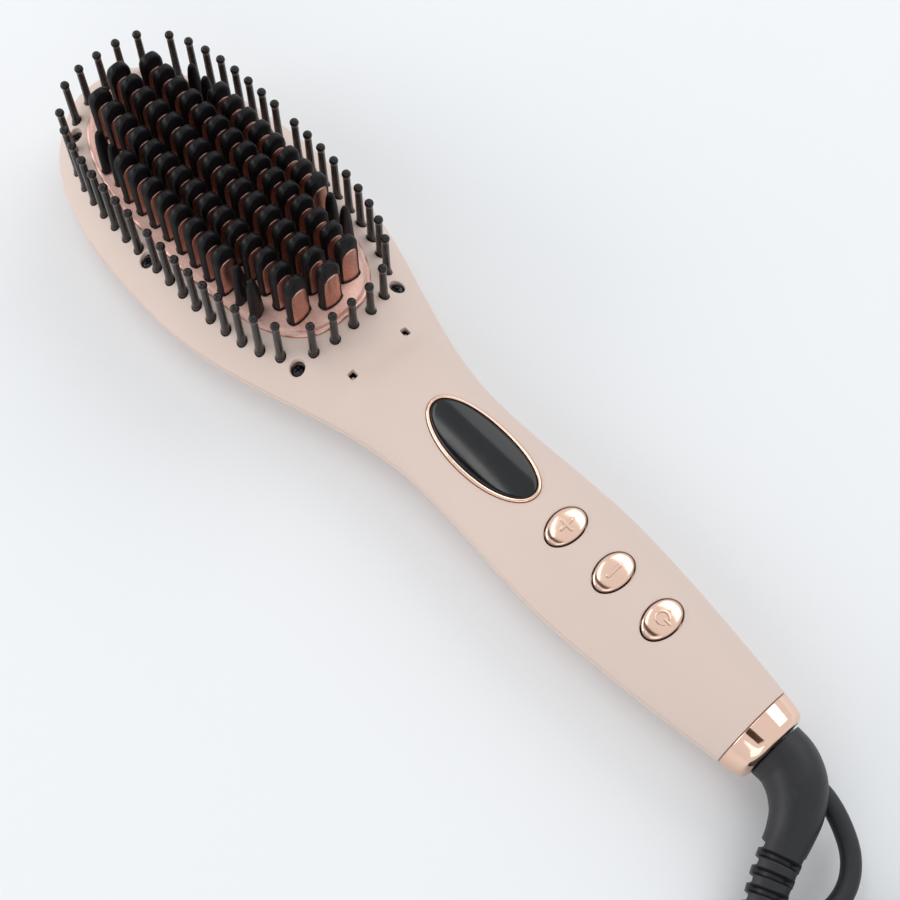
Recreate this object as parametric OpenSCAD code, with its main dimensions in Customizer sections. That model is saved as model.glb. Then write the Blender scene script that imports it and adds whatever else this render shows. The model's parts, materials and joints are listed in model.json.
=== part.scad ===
// Hot hair brush: a moulded body in two half shells, a crowned heater plate with a staggered field
// of capped fins, a ring of ball-tipped bristles, three sprung keys, and a mains lead that leaves
// through a swivel at the end of the handle.
// X runs from the head to the lead, Z up out of the bristles. The origin is on the rest plane,
// under the middle of the bristle field.

/* [Body] */
// From the middle of the bristle field to the head's tip
tip_reach = 63.4; // [62:0.2:68]
// From the middle of the bristle field to the end of the handle
body_reach = 211.6; // [206:0.2:225]
// Width across the head
head_w = 70.6; // [69:0.2:78]
// Width at the neck
neck_w = 32.6; // [31:0.2:35]
// Width across the palm swell
swell_w = 36.4; // [35:0.2:40]
// Width of the handle's end
end_w = 22.4; // [22:0.2:24]
// Where the head is widest
widest_x = 8.6; // [4:0.2:14]
// From the narrowest place of the neck to the end of the handle
neck_back = 113; // [108:0.2:116]
// From the widest place of the palm swell to the end of the handle
swell_back = 67; // [62:0.2:72]
// Height of the seam between the shells
seam_h = 13.8; // [13.4:0.1:14.6]
// Height of the head's crown
crown_h = 30.2; // [29.6:0.1:31.4]
// Height of the handle over the keys
handle_h = 27.8; // [27.4:0.1:29]
// Radius of the crown along the head
deck_r = 448; // [400:10:600]
// Wall of the shells
wall = 2.2; // [1.8:0.1:2.4]
// Gap left along the seam
seam_gap = 0.2; // [0.1:0.05:0.4]

/* [Bristles] */
// Distance from the ring of bristles to the head's tip
tip_margin = 9.2; // [8.6:0.1:10]
// Half width of the ring of bristles
ring_b = 26.5; // [26.2:0.1:27]
// Height of the ball centres over the middle of the head
ball_h = 40.2; // [38:0.2:44]
// Fall of the ball centres for each millimetre towards the handle
ball_fall = 0.023; // [0:0.001:0.03]
// Radius of a ball tip
ball_r = 1.32; // [1.2:0.02:1.4]
// Radius of a bristle's foot
foot_r = 1.4; // [1.3:0.02:1.45]
// Radius of a bristle under its ball
stem_r = 0.95; // [0.8:0.05:1.1]

/* [Heater] */
// Distance from the plate's edge to the ring of bristles
plate_margin = 2.6; // [2.4:0.1:3.2]
// Half width of the heater plate
plate_b = 22.9; // [22.5:0.1:23.2]
// Distance between fins along a row
fin_pitch = 5.9; // [5.7:0.05:5.9]
// Distance from the middle row to the next
row_1 = 9.06; // [8.9:0.02:9.2]
// Distance from the middle row to the outer one
row_2 = 16.7; // [16.5:0.05:16.8]
// Height of the caps in the middle row
cap_h = 47.6; // [44:0.2:50]
// Drop of the caps from one row to the next
cap_drop = 0.8; // [0.4:0.1:1.2]
// Width of a cap
cap_w = 7.4; // [6.8:0.1:7.4]
// Thickness of a cap
cap_t = 3.6; // [3:0.1:4]
// Cap wall beside the fin
cap_wall = 0.95; // [0.7:0.05:1.1]
// Cap left above the fin
cap_top = 4.6; // [3.5:0.1:6]

/* [Display and keys] */
// From the middle of the display to the end of the handle
display_back = 106.3; // [104:0.1:107]
// Half length of the display's bezel
display_a = 19.8; // [18:0.1:20.4]
// Half width of the display's bezel
display_b = 8.7; // [8:0.1:9.2]
// Width of the bezel's rim
bezel_w = 0.95; // [0.7:0.05:1.4]
// From the middle of the first key to the end of the handle
key_back = 75.4; // [74:0.1:76]
// Distance from one key to the next
key_pitch = 17.2; // [16.6:0.1:17.4]
// Half width of a key, across the handle
key_b = 6.4; // [6:0.1:6.8]
// Half length of a key, along the handle
key_a = 4.3; // [4:0.1:4.6]
// Height of a key above the shell
key_proud = 0.6; // [0.4:0.1:1.2]
// Travel of a key
key_travel = 0.6; // [0.3:0.1:0.6]

/* [Lead] */
// Width of the trim ring at the handle's end
trim_w = 7.5; // [6:0.1:8.5]
// Wall of the trim ring
trim_wall = 1; // [0.8:0.05:1.1]
// Radius of the swivel's journal
journal_r = 7.2; // [6.8:0.1:7.4]
// Radius of the lead
lead_r = 3; // [2.8:0.1:3.2]
// Radius of the coil at the middle of its turns
coil_r = 35; // [34:0.5:38]

/* [Hidden] */
$fn = 48;

// Clearances
fit = 0.05;       // radial, journals and screws
seat = 0.1;       // between pieces that lie on each other
slip = 0.3;       // between pieces that move past each other

// Body
neck_x = body_reach - neck_back;
swell_x = body_reach - swell_back;
ring_a = tip_reach - tip_margin;
plate_a = ring_a - plate_margin;
display_x = body_reach - display_back;
key_x = body_reach - key_back;
tip_flat = 0.15;
tip_run = 30;
tip_steps = 9;
body_steps = 29;
arc_n = 20;
tip_round = 12;
tail_round = 45;
crease_x = 65.5;
crease_run = 6;
neck_up = 12.5;
neck_down = 12.4;
end_up = 10.8;
end_down = 10.6;
belly_flat = 0.4;
trim_x = body_reach - trim_w;
spigot_end = body_reach - trim_wall - 3;
axis_z = seam_h;

// Screws that hold the head together: one side, mirrored
screw_spots = [[ring_a - 2.8, 18.5], [-3.25, 26.8], [5.1 - ring_a, 16.2]];
well_r = 2.2;
well_depth = 3.2;
well_floor = 1.2;
boss_r = 3.2;
post_r = 2.6;
screw_r = 1.25;
screw_head_r = 1.95;
screw_head_h = 1.4;

// Bristle ring
frame_top = 16;
frame_t = 2;
frame_in = 6.1;
frame_out = 2.5;
pin_gap = 0.15;
pin_collar = 0.5;
eyelet_r = 3.9;

// Heater
plate_n = 2.65;
plate_lift = 0.5;
rim_lift = 1.1;
rim_lap = 1.2;
rim_band = 2;
plate_bottom = 19.5;
skirt_t = 2;
plate_t = 3;
fin_t = 3;
fin_bow_r = 5;
tooth_w = 4.8;
tooth_t = 3;
tooth_drop = 2;
pillar_x = plate_a - 17.6;
tray = [2 * (pillar_x + 5), 26, 1.2];
ptc = [2 * (pillar_x - 4), 15, 3.2];
pillar_r = 2.6;
pillar_spots = [for (x = [-pillar_x, pillar_x], y = [-10, 10]) [x, y]];
shield = [2 * (pillar_x + 9), 34, 0.8];
clamp_head = [2.3, 1.2];
fuse = [1.7, 10];
bead_r = 1.3;
bead_len = 5;
wire_r = 0.9;
shield_z = 9.6;

// Outlets of the emitters
outlet_x = 64.4;
outlet_y = 9.7;
outlet = [2.4, 2.2];
emitter_z = 9;
emitter_r = 1.6;
emitter_h = 6;
ion_x = 67;
ion_box = [10, 10.8, 5];

// Electronics
bulkhead_t = 4;
bulkhead_x = body_reach - 25.1;
board_x = display_x - 15.3;
board = [bulkhead_x - 2.5 - board_x, 22, 1.6];
board_z = 15.4;
board_spots = [for (x = [board_x + 4, board_x + board[0] - 4], y = [-8, 8]) [x, y]];
board_post_r = 2.4;
board_top = board_z + board[2];
board_screw = [1.1, 6.5];
board_screw_head = [2, 1.3];
switch = [6.2, 6.2, 3.4];
plunger_r = 1.7;
flange_lip = 1.1;
flange_t = 1;

// Swivel
flange_r = 8.2;
trim_lip = 2.1;
flange_x = body_reach - 7.6;
web_t = 3;
ring_spots = [body_reach - 17.6, body_reach - 12.6];
slip_ring_w = 2.6;
slip_ring_r = 5.6;
spool_r = 4.2;
tail_r = 3;

// Route of the boot and its ribbed strain relief from the handle's end, with the radius there
boot_route = [[0.4, 0, 0, 8.3], [5.4, -0.32, 0, 8.2], [10.4, -2.88, 0, 7.9],
    [14.6, -7.4, -0.6, 7], [17.2, -12.5, -1.6, 6.2], [18.8, -17, -2.3, 5.8],
    [20.9, -22.5, -3.1, 5.6], [23.4, -28, -3.9, 5.3], [26, -33.5, -4.7, 5],
    [28.6, -39, -5.5, 4.6], [31.2, -44.5, -6.3, 4.2]];
smooth_spans = 5;
sleeve_ribs = 7;
sleeve_groove = 1.5;
groove_share = 0.38;
// Route of the hanging loop, from the handle's end
loop_r = 2.7;
loop_route = [[9.9, -0.5, -2.3], [14.9, 1.4, -3.4], [19.9, 1, -4.2], [25.9, -1.2, -4.8],
    [31, -4.4, -5.1], [34.6, -8.8, -5.2], [36.4, -14, -5.2], [36.4, -20, -5.2], [34.8, -26, -5.2],
    [31.8, -31, -5.1], [28, -34.4, -4.9]];
// Route of the lead from the strain relief to its coil, from the handle's end
lead_route = [[31.2, -44.5, -6.3], [34.8, -51.8, -7.9], [38.8, -58.8, -10.1],
    [43.4, -65.6, -10.75], [48.4, -72.3, -10.8]];
coil_x = body_reach + 84.4;
coil_y = -46;
coil_cols = 4;
coil_layers = 2;
plug_x = coil_x + coil_r + lead_r * (coil_cols - 1);
plug_neck = 14;
plug_h = 13.7;
plug_outline = [[-7, 0], [7, 0], [17.5, 16], [17.5, 34], [-17.5, 34], [-17.5, 16]];
plug_len = max([for (p = plug_outline) p[1]]);
plug_pin_r = 2;
plug_pin_len = 19;
plug_pin_gap = 19;
plug_start = coil_y + sqrt(pow(coil_r + lead_r * coil_cols, 2) - pow(plug_x - coil_x, 2));
tie_turn = 300;
tie_w = 9;
tie_t = 0.8;

// Colours
shell_colour = [0.86, 0.79, 0.75];
gold_colour = [0.9, 0.72, 0.62];
plate_colour = [0.83, 0.62, 0.57];
black_colour = [0.08, 0.08, 0.09];
rubber_colour = [0.16, 0.16, 0.17];
metal_colour = [0.7, 0.7, 0.72];

function clamp01(s) = min(1, max(0, s));
function mix(a, b, s) = a + (b - a) * s;
function ease(s) = (1 - cos(180 * clamp01(s))) / 2;
function blunt(s, p, q) = pow(1 - pow(1 - clamp01(s), p), 1 / q);
function between(x, a, b) = (x - a) / (b - a);
function signed_pow(v, p) = sign(v) * pow(abs(v), p);

// Half width of the body at x
function half_w(x) =
    x < widest_x ? head_w / 2 * blunt(between(x, -tip_reach, widest_x), 2.5, 2.3) :
    x < neck_x ? mix(head_w / 2, neck_w / 2, ease(between(x, widest_x, neck_x))) :
    x < swell_x ? mix(neck_w / 2, swell_w / 2, ease(between(x, neck_x, swell_x))) :
    mix(swell_w / 2, end_w / 2, pow(between(x, swell_x, body_reach), 1.45));
// Height of the head's deck above the seam, on the middle line
function head_up(x) = (crown_h - seam_h - x * x / (2 * deck_r))
    * blunt(between(x, -tip_reach, tip_round - tip_reach), 2.5, 2.3);
// Height of the handle above the seam
function handle_up(x) = x < swell_x ?
    mix(neck_up, handle_h - seam_h, ease(between(x, crease_x, swell_x))) :
    mix(handle_h - seam_h, end_up, pow(between(x, swell_x, body_reach), 2));
function up_h(x) = mix(head_up(x), handle_up(x), ease((x - crease_x) / crease_run));
// Depth of the body below the seam
function full_down() = seam_h + belly_flat;
function down_h(x) =
    x < widest_x ? full_down() * blunt((x + tip_reach) / tail_round, 2, 2) :
    x < neck_x ? mix(full_down(), neck_down, ease(between(x, widest_x, neck_x))) :
    x < swell_x ? mix(neck_down, full_down(), ease(between(x, neck_x, swell_x))) :
    mix(full_down(), end_down, pow(between(x, swell_x, body_reach), 1.6));
// Exponents of the section: the head is a low arch with round shoulders, the handle an oval
function arch_n(x) = mix(3, 2, ease((x + tip_reach) / 45));
function arch_m(x) = mix(1.25, 2, ease((x - 45) / 55));
belly_n = 2.3;
// Height of the outer surface over (x, y)
function top_z(x, y) = seam_h + up_h(x)
    * pow(1 - pow(min(1, abs(y) / half_w(x)), arch_n(x)), 1 / arch_m(x));

// Height of the surface under (x, y): the outer one, or the inner one with an inset of the wall
function under_z(x, y, inset = 0) = max(inset, seam_h - (down_h(x) - inset)
    * pow(1 - pow(min(1, abs(y) / (half_w(x) - inset)), belly_n), 1 / 2));
// Where a post of radius r at (x, y) can start, inside the wall all round
function post_z(x, y, r) = wall / 3 + max([for (dx = [-r, r], dy = [-r, r]) under_z(x + dx, y + dy)]);

// Half of a section from -Y over to +Y; side is 1 above the seam and -1 below it
function half_arc(x, inset, side) = let (
        w = half_w(x) - inset,
        h = (side > 0 ? up_h(x) : down_h(x)) - seam_gap / 2 - inset,
        n = side > 0 ? arch_n(x) : belly_n,
        m = side > 0 ? arch_m(x) : 2,
        floor_z = inset > wall - 0.01 ? wall : 0)
    [for (j = [0:arc_n]) let (a = 180 * j / arc_n)
        [x, -w * signed_pow(cos(a), 2 / n),
            max(floor_z, seam_h + side * (seam_gap / 2 + h * pow(abs(sin(a)), 2 / m)))]];

tip_x = [for (k = [0:tip_steps]) tip_flat + (tip_run - tip_flat) * pow(k / (tip_steps + 1), 2)];
outer_x = concat([for (t = tip_x) t - tip_reach],
    [for (k = [0:body_steps]) mix(tip_run - tip_reach, trim_x, k / body_steps)],
    [trim_x + 0.02, spigot_end]);
inner_x = [for (x = outer_x) let (t = x + tip_reach)
    t < tip_run ? mix(wall + 0.6, tip_run, t / tip_run) - tip_reach : x];
last = len(outer_x) - 1;

module half_shell(side) {
    spigot = trim_wall + seat;
    outer = [for (x = outer_x) half_arc(x, x > trim_x ? spigot : 0, side)];
    inner = [for (x = inner_x) half_arc(x, wall, side)];
    points = concat([for (ring = outer) each ring], [for (ring = inner) each ring]);
    m = arc_n + 1;
    shift = m * (last + 1);
    skin = concat(
        [for (i = [0:last - 1], j = [0:arc_n - 1])
            [i * m + j, i * m + j + 1, (i + 1) * m + j + 1, (i + 1) * m + j]],
        [for (i = [0:last - 1], j = [0:arc_n - 1]) shift * [1, 1, 1, 1]
            + [i * m + j, (i + 1) * m + j, (i + 1) * m + j + 1, i * m + j + 1]],
        [[for (j = [arc_n:-1:0]) j]],
        [[for (j = [0:arc_n]) shift + j]],
        [for (i = [0:last - 1]) [i * m, (i + 1) * m, shift + (i + 1) * m, shift + i * m]],
        [for (i = [0:last - 1]) let (a = i * m + arc_n) [a, shift + a, shift + a + m, a + m]],
        [[shift, shift + arc_n, arc_n, 0]],
        [for (j = [0:arc_n - 1]) let (a = last * m + j) [a, a + 1, shift + a + 1, shift + a]]);
    polyhedron(points, side > 0 ? skin : [for (f = skin) [for (k = [len(f) - 1:-1:0]) f[k]]]);
}

// Superellipse outline
function oval(cx, a, b, n, count) = [for (k = [0:count - 1]) let (t = 360 * k / count)
    [cx + a * signed_pow(cos(t), 2 / n), b * signed_pow(sin(t), 2 / n)]];
module oval_prism(cx, a, b, n, z0, z1, count = 48) {
    translate([0, 0, z0]) linear_extrude(z1 - z0) polygon(oval(cx, a, b, n, count));
}

// A solid that follows the body's outer surface: rings are [inset, lift] or [inset, 0, height]
function oval_ring(cx, a, b, n, count, ring) = [for (p = oval(cx, a - ring[0], b - ring[0], n, count))
    [p[0], p[1], len(ring) > 2 ? ring[2] : top_z(p[0], p[1]) + ring[1]]];
module crowned_disc(cx, a, b, n, count, rings, lift, base) {
    grid = [for (ring = rings) oval_ring(cx, a, b, n, count, ring)];
    points = concat([for (ring = grid) each ring], [[cx, 0, top_z(cx, 0) + lift], [cx, 0, base]]);
    centre = len(points) - 2;
    end = len(rings) - 1;
    polyhedron(points, concat(
        [for (k = [0:count - 1]) [centre, (k + 1) % count, k]],
        [for (r = [0:end - 1], k = [0:count - 1]) let (q = (k + 1) % count)
            [r * count + k, r * count + q, (r + 1) * count + q, (r + 1) * count + k]],
        [for (k = [0:count - 1]) [centre + 1, end * count + k, end * count + (k + 1) % count]]));
}
module crowned_hoop(cx, a, b, n, count, rings) {
    grid = [for (ring = rings) oval_ring(cx, a, b, n, count, ring)];
    total = len(rings);
    polyhedron([for (ring = grid) each ring],
        [for (r = [0:total - 1], k = [0:count - 1]) let (q = (k + 1) % count, s = (r + 1) % total)
            [r * count + k, r * count + q, s * count + q, s * count + k]]);
}

// Smooth route through the chosen points, and a tube along it
function spline_point(p, i, t) = let (
        a = p[max(0, i - 1)], b = p[i], c = p[i + 1], d = p[min(len(p) - 1, i + 2)])
    b + (c - a) * t / 2 + (2 * a - 5 * b + 4 * c - d) * t * t / 2
        + (3 * b - a - 3 * c + d) * t * t * t / 2;
function along(p, u) = let (i = min(floor(u), len(p) - 2)) spline_point(p, i, u - i);
function spline(p, steps) = concat(
    [for (i = [0:len(p) - 2], k = [0:steps - 1]) spline_point(p, i, k / steps)], [p[len(p) - 1]]);
function unit(v) = v / norm(v);
function xyz(p) = [p[0], p[1], p[2]];
function heading(p, i) = let (
        a = max(0, i - 1), b = min(len(p) - 1, i + 1), d = xyz(p[b]) - xyz(p[a]))
    norm(d) > 0.001 ? unit(d) : unit(xyz(p[min(len(p) - 1, b + 1)]) - xyz(p[max(0, a - 1)]));
module tube(route, radii, sides) {
    points = [for (i = [0:len(route) - 1]) let (
            d = heading(route, i), s = unit(cross(d, [0, 0, 1])), u = cross(s, d))
        each [for (k = [0:sides - 1]) xyz(route[i])
            + radii[i] * (cos(360 * k / sides) * s + sin(360 * k / sides) * u)]];
    end = len(route) - 1;
    polyhedron(points, concat(
        [[for (k = [sides - 1:-1:0]) k]],
        [for (i = [0:end - 1], k = [0:sides - 1]) let (q = (k + 1) % sides)
            [i * sides + k, i * sides + q, (i + 1) * sides + q, (i + 1) * sides + k]],
        [[for (k = [0:sides - 1]) end * sides + k]]));
}

module on_screws() {
    for (p = screw_spots, side = [-1, 1]) translate([p[0], side * p[1], 0]) children();
}
function seat_z(p) = top_z(p[0], p[1]) - well_depth;

// Bristle ring: places along each side, and the five at each end
pin_end = ring_a - 8.35;
side_pins = [for (k = [0:7]) mix(-pin_end, screw_spots[1][0] - 4.3, k / 7),
    for (k = [0:8]) mix(screw_spots[1][0] + 4.1, pin_end, k / 8)];
function ring_y(x) = ring_b * pow(1 - pow(abs(x) / ring_a, 3.1), 1 / 3.1);
function ring_x(y) = ring_a * pow(1 - pow(abs(y) / ring_b, 3.1), 1 / 3.1);
pin_spots = concat(
    [for (x = side_pins, side = [-1, 1]) [x, side * ring_y(x)]],
    [for (y = [-13, -6.6, 0, 6.6, 13], side = [-1, 1]) [side * ring_x(y), y]]);

// Fin rows: [distance from the middle, fins, offset of the first in pitches]
fin_ends = [7.94, 6.76];
fin_count = floor((2 * plate_a - fin_ends[0] - fin_ends[1]) / fin_pitch + 0.01) + 1;
fin_rows = [[0, fin_count, 0], for (row = [[row_1, 1], [row_2, 4]], side = [1, -1])
    [side * row[0], fin_count - row[1], row[1] / 2]];
first_fin = fin_ends[0] - plate_a;
blade_spots = [for (r = [0:4], k = [0:fin_rows[r][1] - 1]) let (row = fin_rows[r])
    [first_fin + fin_pitch * (k + row[2]), row[0], ceil(r / 2),
        r > 2 && (k < 2 || k > row[1] - 3)]];
fin_spots = [for (b = blade_spots) if (!b[3]) b];
tooth_spots = [for (b = blade_spots) if (b[3]) b];
function blade_top(b) = cap_h - cap_drop * b[2];

module front_shell() {
    color(shell_colour) difference() {
        union() {
            half_shell(1);
            for (p = screw_spots, side = [-1, 1]) screw_boss(p, side);
        }
        oval_prism(0, plate_a - rim_lap + seat, plate_b - rim_lap + seat, plate_n,
            frame_top, crown_h + 5, 64);
        for (p = pin_spots) translate([p[0], p[1], seam_h + 1])
            cylinder(h = crown_h, r = foot_r + pin_gap);
        for (p = screw_spots, side = [-1, 1]) translate([p[0], side * p[1], 0]) {
            translate([0, 0, seat_z(p)]) cylinder(h = 12, r = well_r);
            translate([0, 0, seam_h + 1]) cylinder(h = crown_h, r = screw_r + seat);
        }
        for (side = [-1, 1]) translate([outlet_x, side * outlet_y, crown_h - 4])
            cube([outlet[0], outlet[1], 14], center = true);
        oval_prism(display_x, display_a + seat, display_b + seat, 2.1, seam_h + 5, crown_h + 5);
        for (k = [0:2]) oval_prism(key_x + key_pitch * k, key_a + slip, key_b + slip, 2,
            seam_h + 5, crown_h + 5, 36);
    }
}

// Screw seat under the deck, cut off level with the deck's slope
module screw_boss(p, side) {
    slope = (top_z(p[0], p[1] + boss_r) - top_z(p[0], p[1] - boss_r)) / (2 * boss_r);
    bottom = seat_z(p) - well_floor;
    difference() {
        translate([p[0], side * p[1], bottom]) cylinder(h = 10, r = boss_r);
        translate([p[0], side * p[1], top_z(p[0], p[1]) - 0.8]) rotate([side * atan(slope), 0, 0])
            translate([-10, -10, 0]) cube(20);
    }
}

module rear_post(x, y, r, top) {
    low = post_z(x, y, r);
    translate([x, y, low]) cylinder(h = top - low, r = r);
}

module rear_shell() {
    color(shell_colour) difference() {
        union() {
            half_shell(-1);
            for (p = screw_spots, side = [-1, 1])
                rear_post(p[0], side * p[1], post_r, seat_z(p) - well_floor - seat);
            for (p = board_spots) rear_post(p[0], p[1], board_post_r, board_z);
            for (p = pillar_spots) rear_post(p[0], p[1], 2, shield_z);
        }
        for (p = screw_spots, side = [-1, 1]) translate([p[0], side * p[1], seat_z(p) - 10.5])
            cylinder(h = 20, r = screw_r + fit);
        for (p = board_spots) translate([p[0], p[1], board_z - 6]) cylinder(h = 10, r = board_screw[0] + fit);
    }
}

module pin_frame() {
    color(black_colour) translate([0, 0, frame_top - frame_t]) linear_extrude(frame_t)
        difference() {
            union() {
                polygon(oval(0, ring_a + frame_out, ring_b + frame_out, 2.9, 64));
                on_screws() circle(eyelet_r);
            }
            polygon(oval(0, ring_a - frame_in, ring_b - frame_in, 2.9, 64));
            on_screws() circle(post_r + slip);
        }
}

module bristle_pins() {
    color(black_colour) for (p = pin_spots) translate([p[0], p[1], 0]) bristle(
        frame_top, top_z(p[0], p[1]) + pin_collar, ball_h - ball_fall * p[0]);
}

module bristle(low, collar, ball) {
    rotate_extrude($fn = 24) union() {
        polygon([[0, low], [foot_r, low], [foot_r, collar], [foot_r - 0.25, collar + 0.9],
            [stem_r, ball], [0, ball]]);
        intersection() {
            translate([0, ball]) circle(ball_r);
            translate([0, ball - 2]) square([2, 4]);
        }
    }
}

module heater_plate() {
    color(plate_colour) difference() {
        union() {
            crowned_disc(0, plate_a, plate_b, plate_n, 56,
                [[14, plate_lift], [6, plate_lift], [rim_band, plate_lift], [1.5, rim_lift],
                    [0.6, rim_lift], [0.1, 0.7], [0, seat], [rim_lap, seat],
                    [rim_lap, 0, frame_top + seat], [rim_lap + skirt_t, 0, frame_top + seat],
                    [rim_lap + skirt_t, -plate_t], [14, -plate_t]],
                plate_lift, top_z(0, 0) - plate_t);
            translate([-ptc[0] / 2 - 2, -ptc[1] / 2 - 2, plate_bottom])
                cube([ptc[0] + 4, ptc[1] + 4, top_z(ptc[0] / 2, ptc[1] / 2) - plate_bottom - 2]);
            for (b = fin_spots) translate([b[0], b[1], 0]) fin(b);
            for (p = pillar_spots) translate([p[0], p[1], plate_bottom - ptc[2] - seat])
                cylinder(h = top_z(p[0], p[1]) - plate_t / 2 - plate_bottom + ptc[2] + seat, r = pillar_r);
        }
        for (p = pillar_spots) translate([p[0], p[1], plate_bottom - ptc[2] - 1])
            cylinder(h = 6, r = screw_r + fit);
    }
}

// Round-topped outline in the plane across the brush
module arch(w, low, high) {
    translate([0, high - w / 2]) circle(w / 2);
    translate([-w / 2, low]) square([w, high - w / 2 - low]);
}
module across(t) {
    rotate([90, 0, 90]) translate([0, 0, -t / 2]) linear_extrude(t) children();
}

// A fin starts inside the plate's thickness
function fin_root(b) = top_z(b[0], abs(b[1]) + cap_w / 2) - plate_t / 2;
module fin(b) {
    w = cap_w - 2 * cap_wall - 2 * fit;
    intersection() {
        across(fin_t + 1) arch(w, fin_root(b), blade_top(b) - cap_top);
        linear_extrude(60) intersection() {
            translate([fin_t / 2 - fin_bow_r, 0]) circle(fin_bow_r);
            translate([fin_bow_r - fin_t / 2, 0]) circle(fin_bow_r);
            square([fin_t, w], center = true);
        }
    }
}

// Height of the plate, with its raised rim
function plate_z(x, y) = top_z(x, y) + (pow(abs(x) / (plate_a - rim_band), plate_n)
    + pow(abs(y) / (plate_b - rim_band), plate_n) > 1 ? rim_lift : plate_lift);
// Line of the plate under a blade, with the play left for seating
function under(b, dy, t) = seat + max(
    plate_z(b[0] - t / 2, b[1] + dy), plate_z(b[0] + t / 2, b[1] + dy));
module above_plate(b, w, t) {
    edge = w / 2 + 1;
    steps = [-edge, -edge / 2, 0, edge / 2, edge];
    polygon(concat([for (dy = steps) [dy, under(b, dy, t)]], [[edge, 60], [-edge, 60]]));
}

module fin_caps() {
    color(black_colour) for (b = fin_spots) translate([b[0], b[1], 0]) fin_cap(b);
}

module fin_cap(b) {
    intersection() {
        across(cap_t) intersection() {
            difference() {
                arch(cap_w, plate_bottom, blade_top(b));
                arch(cap_w - 2 * cap_wall, plate_bottom - 5, blade_top(b) - cap_top + fit);
            }
            above_plate(b, cap_w, cap_t);
        }
        linear_extrude(60) stadium(cap_w, cap_t);
    }
}
module stadium(w, t) {
    square([t, w - t], center = true);
    for (side = [-1, 1]) translate([0, side * (w - t) / 2]) circle(t / 2);
}

module edge_teeth() {
    color(black_colour) for (b = tooth_spots) translate([b[0], b[1], 0]) intersection() {
        across(tooth_t) intersection() {
            arch(tooth_w, plate_bottom, blade_top(b) - tooth_drop);
            above_plate(b, tooth_w, tooth_t);
        }
        linear_extrude(60) stadium(tooth_w, tooth_t);
    }
}

module ptc_heater() {
    color(metal_colour) translate([0, 0, plate_bottom - ptc[2] / 2 - fit])
        cube([ptc[0], ptc[1], ptc[2] - fit], center = true);
}

tray_top = plate_bottom - ptc[2] - 2 * seat;
module heater_clamp() {
    color(metal_colour) difference() {
        translate([0, 0, tray_top - tray[2] / 2]) cube(tray, center = true);
        for (p = pillar_spots) translate([p[0], p[1], tray_top - tray[2] - 1])
            cylinder(h = 4, r = screw_r + seat);
    }
}

module clamp_screws() {
    color(metal_colour) for (p = pillar_spots) translate([p[0], p[1], tray_top - tray[2] - seat]) {
        translate([0, 0, -clamp_head[1]]) cylinder(h = clamp_head[1], r = clamp_head[0]);
        cylinder(h = tray[2] + 3.4, r = screw_r);
    }
}

module heat_shield() {
    color([0.85, 0.82, 0.7]) translate([0, 0, shield_z + seat + shield[2] / 2])
        cube(shield, center = true);
}

module thermal_fuse() {
    color([0.9, 0.9, 0.88]) translate([-pillar_x / 2, 4, tray_top - tray[2] - fuse[0] - seat])
        rotate([0, 90, 0]) cylinder(h = fuse[1], r = fuse[0]);
}

module temp_sensor() {
    color([0.25, 0.2, 0.18]) translate([pillar_x / 2, -5, tray_top - tray[2] - bead_r - seat])
        rotate([0, 90, 0]) {
            cylinder(h = bead_len, r = bead_r);
            cylinder(h = 2 * bead_len, r = bead_r / 2);
        }
}

// Over the tray's end, down under the bristle frame and up over the board's edge
module heater_leads() {
    over_board = board_top + wire_r + 0.15;
    tray_x = tray[0] / 2;
    color([0.7, 0.15, 0.12]) for (side = [-1, 1]) {
        route = spline([for (p = [[ptc[0] / 2 + 0.2, 3, 17.7], [tray_x - 3.5, 3.5, 18.1],
            [tray_x + 1.2, 4, 17.5], [tray_x + 4.5, 4.5, 14.8], [tray_x + 7.8, 5, 12.4],
            [tray_x + 13, 5, 11.6], [board_x - 13, 5, 11.8], [board_x - 6, 5, 15],
            [board_x - 1.8, 5, over_board], [board_x + 1.7, 5, over_board]])
            [p[0], side * p[1], p[2]]], 2);
        tube(route, [for (p = route) wire_r], 6);
    }
}

module head_screws() {
    color(metal_colour) for (p = screw_spots, side = [-1, 1])
        translate([p[0], side * p[1], seat_z(p) + fit]) {
            cylinder(h = screw_head_h, r = screw_head_r);
            translate([0, 0, -9]) cylinder(h = 9, r = screw_r);
        }
}

module display_bezel() {
    color(gold_colour) crowned_hoop(display_x, display_a, display_b, 2.1, 48,
        [[bezel_w, 0.1], [bezel_w - 0.15, 0.4], [bezel_w / 2, 0.55], [0.15, 0.4], [0, 0.1],
            [0, -1.6], [bezel_w, -1.6]]);
}

module display_lens() {
    a = display_a - bezel_w - seat;
    b = display_b - bezel_w - seat;
    color(black_colour) crowned_disc(display_x, a, b, 2.1, 40,
        [[5, 0.3], [1.5, 0.3], [0.3, 0.2], [0, 0], [0, 0, lens_bottom]], 0.3, lens_bottom);
}
lens_bottom = top_z(display_x, display_b) - 1.8;

module display_module() {
    color([0.12, 0.12, 0.13]) translate([display_x, 0, (board_top + lens_bottom) / 2])
        cube([24, 10, lens_bottom - board_top - 2 * seat], center = true);
}

module control_board() {
    color([0.1, 0.35, 0.2]) difference() {
        translate([board_x, -board[1] / 2, board_z + seat]) cube([board[0], board[1], board[2] - seat]);
        for (p = board_spots) translate([p[0], p[1], board_z - 1]) cylinder(h = 4, r = 1.4);
    }
}

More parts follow.
